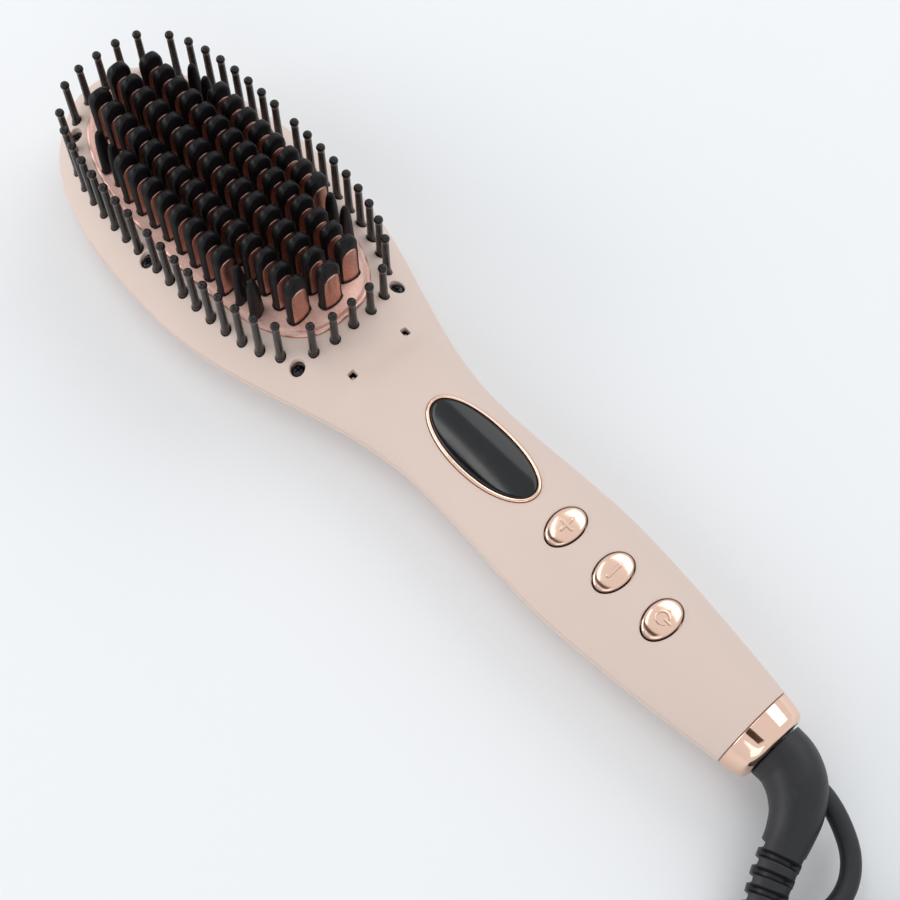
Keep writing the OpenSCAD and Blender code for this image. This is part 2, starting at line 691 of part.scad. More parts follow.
// Capacitor, relay, driver and triac under the board, and the connector on its far end
module board_parts() {
    triac_x = key_x + key_pitch / 2;
    color([0.2, 0.2, 0.22]) {
        translate([board_x + 10, 0, board_z - 4.2]) rotate([0, 90, 0]) cylinder(h = 14, r = 4.1);
        translate([display_x + 10.7, -5, board_z - 4]) cube([9, 10, 4]);
        translate([display_x + 23, -4, board_z - 2.2]) cube([8, 8, 2.2]);
        translate([triac_x, -6.5, board_z - 6.5]) cube([12, 13, 6.5]);
        translate([board_x + board[0] - 8, -4.5, board_top + seat]) cube([6, 9, 4.5]);
    }
}

module tact_switches() {
    color([0.15, 0.15, 0.16]) for (k = [0:2])
        translate([key_x + key_pitch * k, 0, board_top + fit]) {
            translate([-switch[0] / 2, -switch[1] / 2, 0]) cube(switch);
            cylinder(h = plunger_top(k) - board_top - fit, r = plunger_r);
        }
}
// Each plunger ends a clear step below its key at the end of the travel
function plunger_top(k) = key_flange_z(key_x + key_pitch * k) - key_travel - slip;

module board_screws() {
    color(metal_colour) for (p = board_spots) translate([p[0], p[1], board_top + fit]) {
        cylinder(h = board_screw_head[1], r = board_screw_head[0]);
        translate([0, 0, -board_screw[1]]) cylinder(h = board_screw[1], r = board_screw[0]);
    }
}

// Block in the neck's floor, with a tongue that carries the two emitters
module ion_module() {
    low = under_z(ion_x + ion_box[0], ion_box[1] / 2, wall) + 2 * seat;
    reach = outlet_y + 2.3;
    back = outlet_x - emitter_r - 0.8;
    color([0.15, 0.15, 0.18]) {
        translate([ion_x, -ion_box[1] / 2, low]) cube(ion_box);
        translate([back, -reach, emitter_z - emitter_r - seat])
            cube([ion_x + 1 - back, 2 * reach, emitter_r]);
    }
}

module ion_emitters() {
    needle = top_z(outlet_x, outlet_y) - 2.5 - emitter_z;
    color(metal_colour) for (side = [-1, 1]) translate([outlet_x, side * outlet_y, emitter_z]) {
        cylinder(h = needle, r = 0.5);
        cylinder(h = emitter_h, r = emitter_r);
    }
}

function key_flange_z(x) = top_z(x, key_b + flange_lip) - wall - slip - flange_t;
module key(k) {
    x = key_x + key_pitch * k;
    low = key_flange_z(x);
    color(gold_colour) {
        crowned_disc(x, key_a, key_b, 2, 36,
            [[2.4, key_proud + 0.25], [1, key_proud + 0.1], [0.3, key_proud - 0.15],
                [0, key_proud - 0.5], [0, 0, low + flange_t / 2]], key_proud + 0.3,
            low + flange_t / 2);
        oval_prism(x, key_a + flange_lip, key_b + flange_lip, 2, low, low + flange_t, 36);
    }
}
module button_plus() { key(0); }
module button_minus() { key(1); }
module button_power() { key(2); }

// Section of the body at x, all round, with an inset
function section(x, inset) = let (up = half_arc(x, inset, 1), down = half_arc(x, inset, -1))
    concat(up, [for (j = [arc_n:-1:0]) down[j]]);
function section_outline(x, inset) = [for (p = section(x, inset)) [p[1], p[2]]];

module end_ring() {
    count = 2 * (arc_n + 1);
    rings = [section(trim_x + 0.15, 0.3), section(trim_x + 0.5, 0),
        section(body_reach - 1.2, 0), section(body_reach - 0.4, 0.35),
        section(body_reach, 1.1), section(body_reach, trim_lip),
        section(body_reach - web_t, trim_lip), section(body_reach - web_t, trim_wall),
        section(trim_x + 0.15, trim_wall)];
    total = len(rings);
    color(gold_colour) polyhedron([for (ring = rings) each ring],
        [for (r = [0:total - 1], k = [0:count - 1]) let (q = (k + 1) % count, s = (r + 1) % total)
            [r * count + q, s * count + q, s * count + k, r * count + k]]);
}

// Bulkhead that fits the handle and carries the spool's tail, and the bearing in the trim ring
module swivel_socket() {
    color(black_colour) difference() {
        union() {
            translate([bulkhead_x, 0, 0]) rotate([90, 0, 90]) linear_extrude(bulkhead_t)
                polygon(section_outline(bulkhead_x + bulkhead_t, wall + seat));
            translate([body_reach - web_t, 0, 0]) rotate([90, 0, 90]) linear_extrude(web_t - 0.5)
                polygon(section_outline(body_reach, trim_lip + seat));
        }
        translate([bulkhead_x - 1, 0, axis_z]) rotate([0, 90, 0])
            cylinder(h = bulkhead_t + 2, r = tail_r + fit);
        translate([body_reach - web_t - 1, 0, axis_z]) rotate([0, 90, 0])
            cylinder(h = 8, r = journal_r + fit);
    }
}

// Leaf springs from the bulkhead out over the slip rings
module contact_springs() {
    start = bulkhead_x + bulkhead_t + fit;
    color([0.85, 0.65, 0.3]) for (k = [0, 1])
        translate([start, (k == 0 ? -3.8 : 2.2), axis_z + slip_ring_r + slip])
            cube([ring_spots[k] + slip_ring_w / 2 - start, 1.6, 0.5]);
}

module swivel_bush() {
    tail = bulkhead_x + bulkhead_t + slip;
    color(black_colour) translate([0, 0, axis_z]) rotate([0, 90, 0]) rotate_extrude() polygon([
        [0, bulkhead_x + slip], [tail_r, bulkhead_x + slip], [tail_r, tail], [spool_r, tail],
        [spool_r, flange_x], [flange_r, flange_x], [flange_r, body_reach - web_t - slip],
        [journal_r, body_reach - web_t - slip], [journal_r, body_reach + 0.4],
        [0, body_reach + 0.4]]);
}

module slip_rings() {
    color([0.85, 0.65, 0.3]) for (x = ring_spots) translate([x - slip_ring_w / 2, 0, axis_z])
        rotate([0, 90, 0]) difference() {
            cylinder(h = slip_ring_w, r = slip_ring_r);
            translate([0, 0, -1]) cylinder(h = slip_ring_w + 2, r = spool_r + fit);
        }
}

module at_handle_end() {
    translate([body_reach, 0, axis_z]) children();
}

// Smooth boot, then ribs with square grooves between them, all one moulding
module cord_boot() {
    spans = len(boot_route) - 1;
    pitch = (spans - smooth_spans) / sleeve_ribs;
    smooth = [for (k = [0:3 * smooth_spans]) let (p = along(boot_route, k / 3)) [xyz(p), p[3]]];
    ribs = [for (k = [0:sleeve_ribs - 1], e = [0:3]) let (
            u = smooth_spans + pitch * (k + (e < 2 ? groove_share : 1)), p = along(boot_route, u))
        [xyz(p), p[3] - (e == 0 || (e == 3 && k < sleeve_ribs - 1) ? sleeve_groove : 0)]];
    step = along(boot_route, smooth_spans);
    rings = concat(smooth, [[xyz(step), step[3] - sleeve_groove]], ribs);
    kept = [for (i = [0:len(rings) - 2]) rings[i]];
    color(rubber_colour) at_handle_end() tube([for (r = kept) r[0]], [for (r = kept) r[1]], 16);
}

module hang_loop() {
    route = spline(loop_route, 2);
    color(rubber_colour) at_handle_end() tube(route, [for (p = route) loop_r], 10);
}

module cord_tube() {
    route = spline(lead_route, 3);
    color(rubber_colour) at_handle_end() tube(route, [for (p = route) lead_r], 10);
}

coil_half = lead_r * coil_cols;
module cord_coil() {
    color(rubber_colour) translate([coil_x, coil_y, 0]) rotate_extrude($fn = 96)
        translate([coil_r - coil_half, 0]) square([2 * coil_half, 2 * lead_r * coil_layers]);
}

module coil_tie() {
    h = 2 * lead_r * coil_layers + seat;
    color(black_colour) translate([coil_x, coil_y, 0]) rotate(tie_turn)
        translate([coil_r, 0, 0]) difference() {
            translate([-coil_half - tie_t - 1, -tie_w / 2, 0.2])
                cube([2 * (coil_half + tie_t + 1), tie_w, h + tie_t - 0.2]);
            translate([-coil_half - 1, -tie_w, -1]) cube([2 * (coil_half + 1), 2 * tie_w, h + 1]);
        }
}

module plug_body() {
    color(rubber_colour) translate([plug_x, plug_start, plug_h / 2]) {
        rotate([-90, 0, 0]) cylinder(h = plug_neck, r1 = lead_r + 0.4, r2 = 5);
        translate([0, plug_neck, -plug_h / 2]) linear_extrude(plug_h) polygon(plug_outline);
    }
}

module plug_pins() {
    color(metal_colour) for (side = [-1, 1])
        translate([plug_x + side * plug_pin_gap / 2, plug_start + plug_neck + plug_len, plug_h / 2])
            rotate([-90, 0, 0]) cylinder(h = plug_pin_len, r = plug_pin_r);
}

front_shell();
rear_shell();
pin_frame();
bristle_pins();
heater_plate();
fin_caps();
edge_teeth();
ptc_heater();
heater_clamp();
clamp_screws();
heat_shield();
thermal_fuse();
temp_sensor();
heater_leads();
head_screws();
display_bezel();
display_lens();
display_module();
control_board();
board_parts();
tact_switches();
board_screws();
ion_module();
ion_emitters();
button_plus();
button_minus();
button_power();
end_ring();
swivel_socket();
contact_springs();
swivel_bush();
slip_rings();
cord_boot();
hang_loop();
cord_tube();
cord_coil();
coil_tie();
plug_body();
plug_pins();
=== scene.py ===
"""Heated hair straightener brush, dressed around its solids. Sizes inside are in millimetres."""
import json
import math

import bmesh
import bpy
from bpy.props import FloatProperty, FloatVectorProperty, PointerProperty
from mathutils import Matrix, Vector


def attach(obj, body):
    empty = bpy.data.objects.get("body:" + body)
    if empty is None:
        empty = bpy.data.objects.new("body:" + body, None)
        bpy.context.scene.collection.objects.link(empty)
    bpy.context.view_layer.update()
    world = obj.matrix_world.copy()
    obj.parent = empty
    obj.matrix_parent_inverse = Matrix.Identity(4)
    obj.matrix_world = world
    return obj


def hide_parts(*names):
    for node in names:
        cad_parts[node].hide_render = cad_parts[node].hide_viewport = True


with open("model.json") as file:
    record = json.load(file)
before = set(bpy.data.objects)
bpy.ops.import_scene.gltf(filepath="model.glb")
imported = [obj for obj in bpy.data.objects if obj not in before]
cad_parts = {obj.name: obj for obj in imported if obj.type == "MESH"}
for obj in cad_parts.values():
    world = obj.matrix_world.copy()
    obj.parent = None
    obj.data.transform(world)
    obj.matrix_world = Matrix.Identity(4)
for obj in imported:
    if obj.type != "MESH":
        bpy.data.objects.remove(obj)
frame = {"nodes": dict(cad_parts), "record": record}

bl_info = {
    "name": "Heated hair brush",
    "version": (1, 0, 0),
    "blender": (4, 5, 0),
    "location": "3D View > Sidebar > Hair brush",
    "description": "Makes the looks of a heated hair straightener brush around its solids",
    "category": "Object",
}

MM = 0.001
TAU = math.tau

# Clearances and small sizes of the moulding, as the solids have them
FIT, SEAT, SLIP = 0.05, 0.1, 0.3
WALL, SEAM_GAP, SEAM_EDGE = 2.2, 0.2, 0.3
BELLY_N, PLATE_N, LIP_N = 2.3, 2.65, 2.1
FRAME_TOP = 16.0
WELL_R, WELL_DEPTH = 2.2, 3.2
RIM_LAP, RIM_BAND, RIM_LIFT, PLATE_LIFT = 1.2, 2.0, 1.1, 0.5
TRIM_WALL, TRIM_LIP, WEB_T = 1.0, 2.1, 3.0
NAIL = 5.4                          # height of the part of a cap that thins
FIN_BOW_R = 7.0                     # radius of a fin's two bowed faces
DECK_END, OUTLET = 65.5, (64.4, 9.7)
NOSE_TOP, NOSE_BELLY = 12, 45       # how far the nose rounds over the deck and the belly
NECK_TOP, END_TOP, NECK_BELLY, END_BELLY = 12.5, 10.8, 12.4, 10.6
SCREW_SEAT_R, SCREW_HOLE_R, SCREW_SEAT_T = 3.1, 1.3, 1.2
COIL_PLACE, COIL_COLS, TIE_TURN = (84.4, -46.0), 4, 300
PLUG_H, PLUG_L, PIN_SIDE = 13.7, 48, 9.5

# Routes from the handle's end: of the boot, with its radius, of its loop and of the lead
BOOT_ROUTE = [
    (0.4, 0, 0, 8.3), (5.4, -0.32, 0, 8.2), (10.4, -2.88, 0, 7.9), (14.6, -7.4, -0.6, 7),
    (17.2, -12.5, -1.6, 6.2), (18.8, -17, -2.3, 5.8), (20.9, -22.5, -3.1, 5.6),
    (23.4, -28, -3.9, 5.3), (26, -33.5, -4.7, 5), (28.6, -39, -5.5, 4.6), (31.2, -44.5, -6.3, 4.2),
]
SMOOTH_SPANS, SLEEVE_SLOTS = 5, 7
LOOP_ROUTE = [
    (9.9, -0.5, -2.3), (14.9, 1.4, -3.4), (19.9, 1, -4.2), (25.9, -1.2, -4.8), (31, -4.4, -5.1),
    (34.6, -8.8, -5.2), (36.4, -14, -5.2), (36.4, -20, -5.2), (34.8, -26, -5.2),
    (31.8, -31, -5.1), (28, -34.4, -4.9),
]
LEAD_ROUTE = [
    (31.2, -44.5, -6.3), (34.8, -51.8, -7.9), (38.8, -58.8, -10.1), (43.4, -65.6, -10.75),
    (48.4, -72.3, -10.8),
]


def length(name, description, default):
    return FloatProperty(name=name, description=description, default=default, unit="LENGTH",
                         precision=4)


def colour(name, description, default):
    return FloatVectorProperty(name=name, description=description, default=default, size=3,
                               subtype="COLOR", min=0, max=1)


class BrushSizes(bpy.types.PropertyGroup):
    """Sizes of the brush, the same as those of its solids"""
    tip_reach: length("Tip", "From the middle of the bristles to the head's tip", 0.0634)
    body_reach: length("Handle end", "From the middle of the bristles to the handle's end", 0.2116)
    head_w: length("Head width", "Width across the head", 0.0706)
    neck_w: length("Neck width", "Width at the neck", 0.0326)
    swell_w: length("Swell width", "Width across the palm swell", 0.0364)
    end_w: length("End width", "Width of the handle's end", 0.0224)
    widest_x: length("Widest place", "Where the head is widest", 0.0086)
    neck_back: length("Neck", "From the neck to the handle's end", 0.113)
    swell_back: length("Swell", "From the palm swell to the handle's end", 0.067)
    seam_h: length("Seam", "Height of the seam between the shells", 0.0138)
    crown_h: length("Crown", "Height of the head's crown", 0.0302)
    handle_h: length("Handle height", "Height of the handle over the keys", 0.0278)
    deck_r: length("Deck radius", "Radius of the crown along the head", 0.448)
    tip_margin: length("Ring margin", "From the ring of bristles to the tip", 0.0092)
    ring_b: length("Ring half width", "Half width of the ring of bristles", 0.0265)
    ball_h: length("Ball height", "Height of the ball centres over the middle", 0.0402)
    ball_r: length("Ball radius", "Radius of a ball tip", 0.00132)
    foot_r: length("Foot radius", "Radius of a bristle's foot", 0.0014)
    stem_r: length("Stem radius", "Radius of a bristle under its ball", 0.00095)
    plate_margin: length("Plate margin", "From the plate's edge to the ring", 0.0026)
    plate_b: length("Plate half width", "Half width of the heater plate", 0.0229)
    fin_pitch: length("Fin pitch", "Distance between fins along a row", 0.0059)
    row_1: length("Second row", "From the middle row to the next", 0.00906)
    row_2: length("Outer row", "From the middle row to the outer one", 0.0167)
    cap_h: length("Cap height", "Height of the caps in the middle row", 0.0476)
    cap_drop: length("Cap drop", "Drop of the caps from one row to the next", 0.0008)
    cap_w: length("Cap width", "Width of a cap", 0.0074)
    cap_t: length("Cap thickness", "Thickness of a cap", 0.0036)
    cap_wall: length("Cap wall", "Cap wall beside the fin", 0.00095)
    cap_top: length("Cap top", "Cap left above the fin", 0.0046)
    display_back: length("Display", "From the display to the handle's end", 0.1063)
    display_a: length("Display half length", "Half length of the display's bezel", 0.0198)
    display_b: length("Display half width", "Half width of the display's bezel", 0.0087)
    bezel_w: length("Bezel", "Width of the bezel's rim", 0.00095)
    key_back: length("First key", "From the first key to the handle's end", 0.0754)
    key_pitch: length("Key pitch", "Distance from one key to the next", 0.0172)
    key_b: length("Key half width", "Half width of a key across the handle", 0.0064)
    key_a: length("Key half length", "Half length of a key along the handle", 0.0043)
    key_proud: length("Key height", "Height of a key above the shell", 0.0006)
    trim_w: length("Trim ring", "Width of the ring at the handle's end", 0.0075)
    lead_r: length("Lead radius", "Radius of the lead", 0.003)
    coil_r: length("Coil radius", "Radius of the coil at the middle of its turns", 0.035)


class BrushColours(bpy.types.PropertyGroup):
    """Colours of the finishes"""
    shell: colour("Shell", "Soft-touch paint of the shells", (0.70, 0.56, 0.49))
    plate: colour("Plate", "Anodised heater plate", (0.82, 0.53, 0.455))
    gold: colour("Trim", "Polished rose gold", (0.96, 0.66, 0.52))
    cap: colour("Caps", "Heat-guard caps", (0.006, 0.005, 0.006))
    bristle: colour("Bristles", "Ball-tipped bristles", (0.014, 0.0115, 0.011))
    rubber: colour("Rubber", "Boot, loop and lead", (0.015, 0.015, 0.017))
    screen: colour("Display", "Display window", (0.004, 0.004, 0.005))
    steel: colour("Screws", "Blackened screws", (0.05, 0.05, 0.055))
    floor: colour("Floor", "Pale floor", (0.86, 0.87, 0.88))


# Small functions of the form

def clamp01(s):
    return min(1.0, max(0.0, s))


def mix(a, b, s):
    return a + (b - a) * s


def ease(s):
    return (1 - math.cos(math.pi * clamp01(s))) / 2


def blunt(s, p, q):
    return max(0.0, 1 - (1 - clamp01(s)) ** p) ** (1 / q)


def between(x, a, b):
    return (x - a) / (b - a)


def signed_pow(v, p):
    return math.copysign(abs(v) ** p, v)


def spline_point(p, i, t):
    """Point on the smooth curve through p, between its points i and i + 1"""
    a, b, c, d = (p[max(0, min(len(p) - 1, k))] for k in (i - 1, i, i + 1, i + 2))
    return tuple(
        q + (r - o) * t / 2 + (2 * o - 5 * q + 4 * r - s) * t * t / 2
        + (3 * q - o - 3 * r + s) * t ** 3 / 2
        for o, q, r, s in zip(a, b, c, d))


def along(p, u):
    i = min(int(u), len(p) - 2)
    return spline_point(p, i, u - i)


def spline(p, steps):
    spans = range(len(p) - 1)
    return [spline_point(p, i, k / steps) for i in spans for k in range(steps)] + [p[-1]]


def oval(cx, a, b, n, count, cy=0.0):
    """Superellipse outline"""
    return [(cx + a * signed_pow(math.cos(TAU * k / count), 2 / n),
             cy + b * signed_pow(math.sin(TAU * k / count), 2 / n)) for k in range(count)]


class Form:
    """The sizes in millimetres and the surface of the body that follows from them"""

    def __init__(self, sizes):
        for key in type(sizes).__annotations__:
            setattr(self, key, getattr(sizes, key) / MM)
        self.neck_x = self.body_reach - self.neck_back
        self.swell_x = self.body_reach - self.swell_back
        self.ring_a = self.tip_reach - self.tip_margin
        self.plate_a = self.ring_a - self.plate_margin
        self.display_x = self.body_reach - self.display_back
        self.keys = [self.body_reach - self.key_back + self.key_pitch * k for k in range(3)]
        self.trim_x = self.body_reach - self.trim_w
        self.axis_z = self.seam_h
        self.mid_screw_x = -3.25
        screws = ((self.ring_a - 2.8, 18.5), (self.mid_screw_x, 26.8), (5.1 - self.ring_a, 16.2))
        self.wells = [(x, side * y) for x, y in screws for side in (-1, 1)]
        self.coil = (self.body_reach + COIL_PLACE[0], COIL_PLACE[1])
        reach = self.coil_r + self.lead_r * COIL_COLS
        self.plug_at = (self.coil[0] + reach - self.lead_r,
                        self.coil[1] + math.sqrt(reach ** 2 - (reach - self.lead_r) ** 2))
        self.outlets = [(OUTLET[0], side * OUTLET[1]) for side in (-1, 1)]

    def run(self, x, nose, head, neck, swell, end, power):
        """A size at x, which goes from the head over the neck and the palm swell to the end"""
        if x < self.widest_x:
            return head * nose
        if x < self.neck_x:
            return mix(head, neck, ease(between(x, self.widest_x, self.neck_x)))
        if x < self.swell_x:
            return mix(neck, swell, ease(between(x, self.neck_x, self.swell_x)))
        return mix(swell, end, between(x, self.swell_x, self.body_reach) ** power)

    def half_w(self, x):
        nose = blunt(between(x, -self.tip_reach, self.widest_x), 2.5, 2.3)
        return self.run(x, nose, self.head_w / 2, self.neck_w / 2, self.swell_w / 2,
                        self.end_w / 2, 1.45)

    def up_h(self, x):
        head = (self.crown_h - self.seam_h - x * x / (2 * self.deck_r)) \
            * blunt((x + self.tip_reach) / NOSE_TOP, 2.5, 2.3)
        palm = self.handle_h - self.seam_h
        if x < self.swell_x:
            handle = mix(NECK_TOP, palm, ease(between(x, DECK_END, self.swell_x)))
        else:
            handle = mix(palm, END_TOP, between(x, self.swell_x, self.body_reach) ** 2)
        return mix(head, handle, ease((x - DECK_END) / 6))

    def down_h(self, x):
        full = self.seam_h + 0.4        # flattened by the floor, on which the back rests
        nose = blunt((x + self.tip_reach) / NOSE_BELLY, 2, 2)
        return self.run(x, nose, full, NECK_BELLY, full, END_BELLY, 1.6)

    def arch_n(self, x):
        return mix(3, 2, ease((x + self.tip_reach) / NOSE_BELLY))

    def arch_m(self, x):
        return mix(1.25, 2, ease((x - 45) / 55))

    def top_z(self, x, y):
        """Height of the outer surface over (x, y)"""
        share = min(1.0, abs(y) / max(self.half_w(x), 0.01))
        return self.seam_h + self.up_h(x) * (1 - share ** self.arch_n(x)) ** (1 / self.arch_m(x))

    def arc(self, x, inset, side, turns, edge=0.0):
        """Half of a section from -Y over to +Y, with the edge at the seam rounded"""
        w = self.half_w(x) - inset
        h = (self.up_h(x) if side > 0 else self.down_h(x)) - SEAM_GAP / 2 - inset
        n, m = (self.arch_n(x), self.arch_m(x)) if side > 0 else (BELLY_N, 2)
        floor_z = WALL if inset > WALL - 0.01 else 0
        points = []
        for turn in turns:
            a = math.radians(turn)
            rise = h * abs(math.sin(a)) ** (2 / m)
            y = -w * signed_pow(math.cos(a), 2 / n)
            if rise < edge:
                y -= math.copysign(min(abs(y), edge - math.sqrt(edge ** 2 - (edge - rise) ** 2)), y)
            points.append((x, y, max(floor_z, self.seam_h + side * (SEAM_GAP / 2 + rise))))
        return points

    def crowned(self, cx, a, b, n, count, rings):
        """Rings of a solid that follows the surface: (inset, lift) or (inset, None, height)"""
        return [[(x, y, ring[2] if ring[1] is None else self.top_z(x, y) + ring[1])
                 for x, y in oval(cx, a - ring[0], b - ring[0], n, count)] for ring in rings]

    def blades(self):
        """Every blade: x, y, row counted from the middle, and whether it is a plain tooth"""
        first, last = 7.94 - self.plate_a, self.plate_a - 6.76
        count = int((last - first) / self.fin_pitch + 0.01) + 1
        sides = enumerate([(self.row_1, 1), (self.row_2, 4)], 1)
        rows = [(0, 0, 0)] + [(side * y, short, row) for row, (y, short) in sides
                              for side in (1, -1)]
        spots = []
        for y, short, row in rows:
            for k in range(count - short):
                tooth = row == 2 and (k < 2 or k > count - short - 3)
                spots.append((first + self.fin_pitch * (k + short / 2), y, row, tooth))
        return spots

    def pins(self):
        """Places of the bristles round the plate"""
        def ring(v, a, b):
            return b * (1 - (abs(v) / a) ** 3.1) ** (1 / 3.1)
        a, b, end, screw = self.ring_a, self.ring_b, self.ring_a - 8.35, self.mid_screw_x
        side_x = [mix(-end, screw - 4.3, k / 7) for k in range(8)] \
            + [mix(screw + 4.1, end, k / 8) for k in range(9)]
        return [(x, side * ring(x, a, b)) for x in side_x for side in (-1, 1)] \
            + [(side * ring(y, b, a), y) for y in (-13, -6.6, 0, 6.6, 13) for side in (-1, 1)]

    def handle_end(self, p):
        return (p[0] + self.body_reach, p[1], p[2] + self.axis_z)


def add_object(name, data):
    thing = bpy.data.objects.new(name, data)
    bpy.context.scene.collection.objects.link(thing)
    return thing


class Shape:
    """Points in millimetres and faces of one piece while it is made"""

    def __init__(self):
        self.points, self.faces = [], []

    def loft(self, rings, near=True, far=True):
        """Skin over rings of equally many points, with its ends closed"""
        base, n = len(self.points), len(rings[0])
        for ring in rings:
            self.points += [tuple(p) for p in ring]
        for r in range(len(rings) - 1):
            for k in range(n):
                a, b = base + r * n + k, base + r * n + (k + 1) % n
                self.faces.append((a, b, b + n, a + n))
        if near:
            self.faces.append(tuple(base + k for k in reversed(range(n))))
        if far:
            last = base + (len(rings) - 1) * n
            self.faces.append(tuple(last + k for k in range(n)))
        return self

    def hoop(self, rings):
        """Skin over rings whose last one joins the first"""
        return self.loft(rings + [rings[0]], near=False, far=False)

    def turned(self, profile, spot, count=24, axis="Z"):
        """Skin of (radius, height) points turned about an axis through spot"""
        rings = []
        for r, h in profile:
            ring = []
            for k in range(count):
                c, s = r * math.cos(TAU * k / count), r * math.sin(TAU * k / count)
                local = {"Z": (c, s, h), "X": (h, c, s), "Y": (s, h, c)}[axis]
                ring.append(tuple(p + q for p, q in zip(spot, local)))
            rings.append(ring)
        return self.loft(rings)

    def tube(self, route, radius, sides):
        """Skin along route; radius(i, turn) is the radius at a point and an angle"""
        route = [Vector(p) for p in route]
        aside, rings = None, []
        for i, spot in enumerate(route):
            ahead = (route[min(len(route) - 1, i + 1)] - route[max(0, i - 1)]).normalized()
            aside = (ahead.cross(Vector((0, 0, 1))) if aside is None
                     else aside - ahead * aside.dot(ahead)).normalized()
            above = aside.cross(ahead)
            rings.append([spot + radius(i, TAU * k / sides)
                          * (math.cos(TAU * k / sides) * aside + math.sin(TAU * k / sides) * above)
                          for k in range(sides)])
        return self.loft(rings)

    def copies(self, other, spots):
        for x, y, z in spots:
            base = len(self.points)
            self.points += [(p[0] + x, p[1] + y, p[2] + z) for p in other.points]
            self.faces += [tuple(base + k for k in face) for face in other.faces]
        return self

    def object(self, name):
        mesh = bpy.data.meshes.new(name)
        mesh.from_pydata([(p[0] * MM, p[1] * MM, p[2] * MM) for p in self.points], [], self.faces)
        work = bmesh.new()
        work.from_mesh(mesh)
        bmesh.ops.remove_doubles(work, verts=work.verts, dist=1e-6)
        bmesh.ops.recalc_face_normals(work, faces=work.faces)
        work.to_mesh(mesh)
        work.free()
        return add_object(name, mesh)

    def cut(self, piece):
        """Cuts this shape out of a piece"""
        tool = self.object(piece.name + "_cutter")
        step = piece.modifiers.new("cut", "BOOLEAN")
        step.operation, step.solver, step.object = "DIFFERENCE", "MANIFOLD", tool
        graph = bpy.context.evaluated_depsgraph_get()
        left = bpy.data.meshes.new_from_object(piece.evaluated_get(graph))
        piece.modifiers.clear()
        if not left.polygons:
            raise RuntimeError(f"nothing is left of {piece.name} after it was cut")
        piece.data = left
        bpy.data.objects.remove(tool)

    def piece(self, finishes, name, body, slot, replaced=None, cutter=None, sharp=38, finish=None):
        """The finished piece, riding on its body in place of the replaced node"""
        piece = self.object(name)
        if cutter is not None:
            cutter.cut(piece)
        piece.data.polygons.foreach_set("use_smooth", [True] * len(piece.data.polygons))
        piece.data.set_sharp_from_angle(angle=math.radians(sharp))
        weigh = piece.modifiers.new("even shading", "WEIGHTED_NORMAL")
        weigh.keep_sharp, weigh.weight = True, 90
        piece.data.materials.clear()
        piece.data.materials.append(finishes[finish or slot])
        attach(piece, body)
        if replaced:
            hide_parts(replaced)
        return piece


# Finishes

class Wire:
    """A socket in a finish; arithmetic on it adds Math nodes"""

    def __init__(self, finish, socket):
        self.finish, self.socket = finish, socket

    def maths(self, operation, first, second):
        return self.finish.node("ShaderNodeMath", {"operation": operation}, {0: first, 1: second})

    def __add__(self, other):
        return self.maths("ADD", self, other)

    def __sub__(self, other):
        return self.maths("SUBTRACT", self, other)

    def __rsub__(self, other):
        return self.maths("SUBTRACT", other, self)

    def __mul__(self, other):
        return self.maths("MULTIPLY", self, other)

    __radd__, __rmul__ = __add__, __mul__


class Finish:
    """A material whose nodes are written as expressions"""

    def __init__(self, name):
        self.material = bpy.data.materials.new(name)
        self.material.use_nodes = True
        self.tree = self.material.node_tree
        self.tree.nodes.clear()
        self.place = self.node("ShaderNodeTexCoord", out="Object")

    def node(self, kind, settings=None, inputs=None, out=0):
        """Adds a node, sets it up, then gives its sockets their values or links"""
        node = self.tree.nodes.new(kind)
        for key, value in (settings or {}).items():
            setattr(node, key, value)
        for key, value in (inputs or {}).items():
            if isinstance(value, Wire):
                self.tree.links.new(value.socket, node.inputs[key])
            else:
                node.inputs[key].default_value = value
        return None if out is None else Wire(self, node.outputs[out])

    def noise(self, size, detail=2.0, rough=0.5, place=None):
        """Soft noise whose blotches are about size millimetres across"""
        return self.node("ShaderNodeTexNoise", inputs={
            "Vector": place or self.place, "Scale": 1 / (size * MM), "Detail": detail,
            "Roughness": rough})

    def height_of_normal(self):
        normal = self.node("ShaderNodeTexCoord", out="Normal")
        return self.node("ShaderNodeSeparateXYZ", inputs={0: normal}, out="Z")

    def stretched(self, x, y, z):
        return self.node("ShaderNodeVectorMath", {"operation": "MULTIPLY"},
                         {0: self.place, 1: (x, y, z)})

    def smooth(self, value, low, high):
        return self.node("ShaderNodeMapRange", {"interpolation_type": "SMOOTHSTEP"},
                         {"Value": value, "From Min": low, "From Max": high})

    def blend(self, share, dark, light):
        """Colour between two colours"""
        def rgba(c):
            return c if isinstance(c, Wire) else (*c[:3], 1)
        return self.node("ShaderNodeMix", {"data_type": "RGBA"},
                         {0: share, 6: rgba(dark), 7: rgba(light)}, out=2)

    def bump(self, height, depth):
        """Normal of a relief that is depth millimetres deep"""
        return self.node("ShaderNodeBump", inputs={
            "Height": height, "Distance": depth * MM, "Strength": 1.0})

    def done(self, **sockets):
        names = {key: key.replace("_", " ").title().replace("Ior", "IOR") for key in sockets}
        shader = self.node("ShaderNodeBsdfPrincipled", inputs={
            names[key]: (*value, 1) if isinstance(value, tuple) and len(value) == 3 else value
            for key, value in sockets.items()})
        self.node("ShaderNodeOutputMaterial", inputs={"Surface": shader}, out=None)
        return self.material


def shade(colour_, factor):
    return tuple(min(1.0, c * factor) for c in colour_)


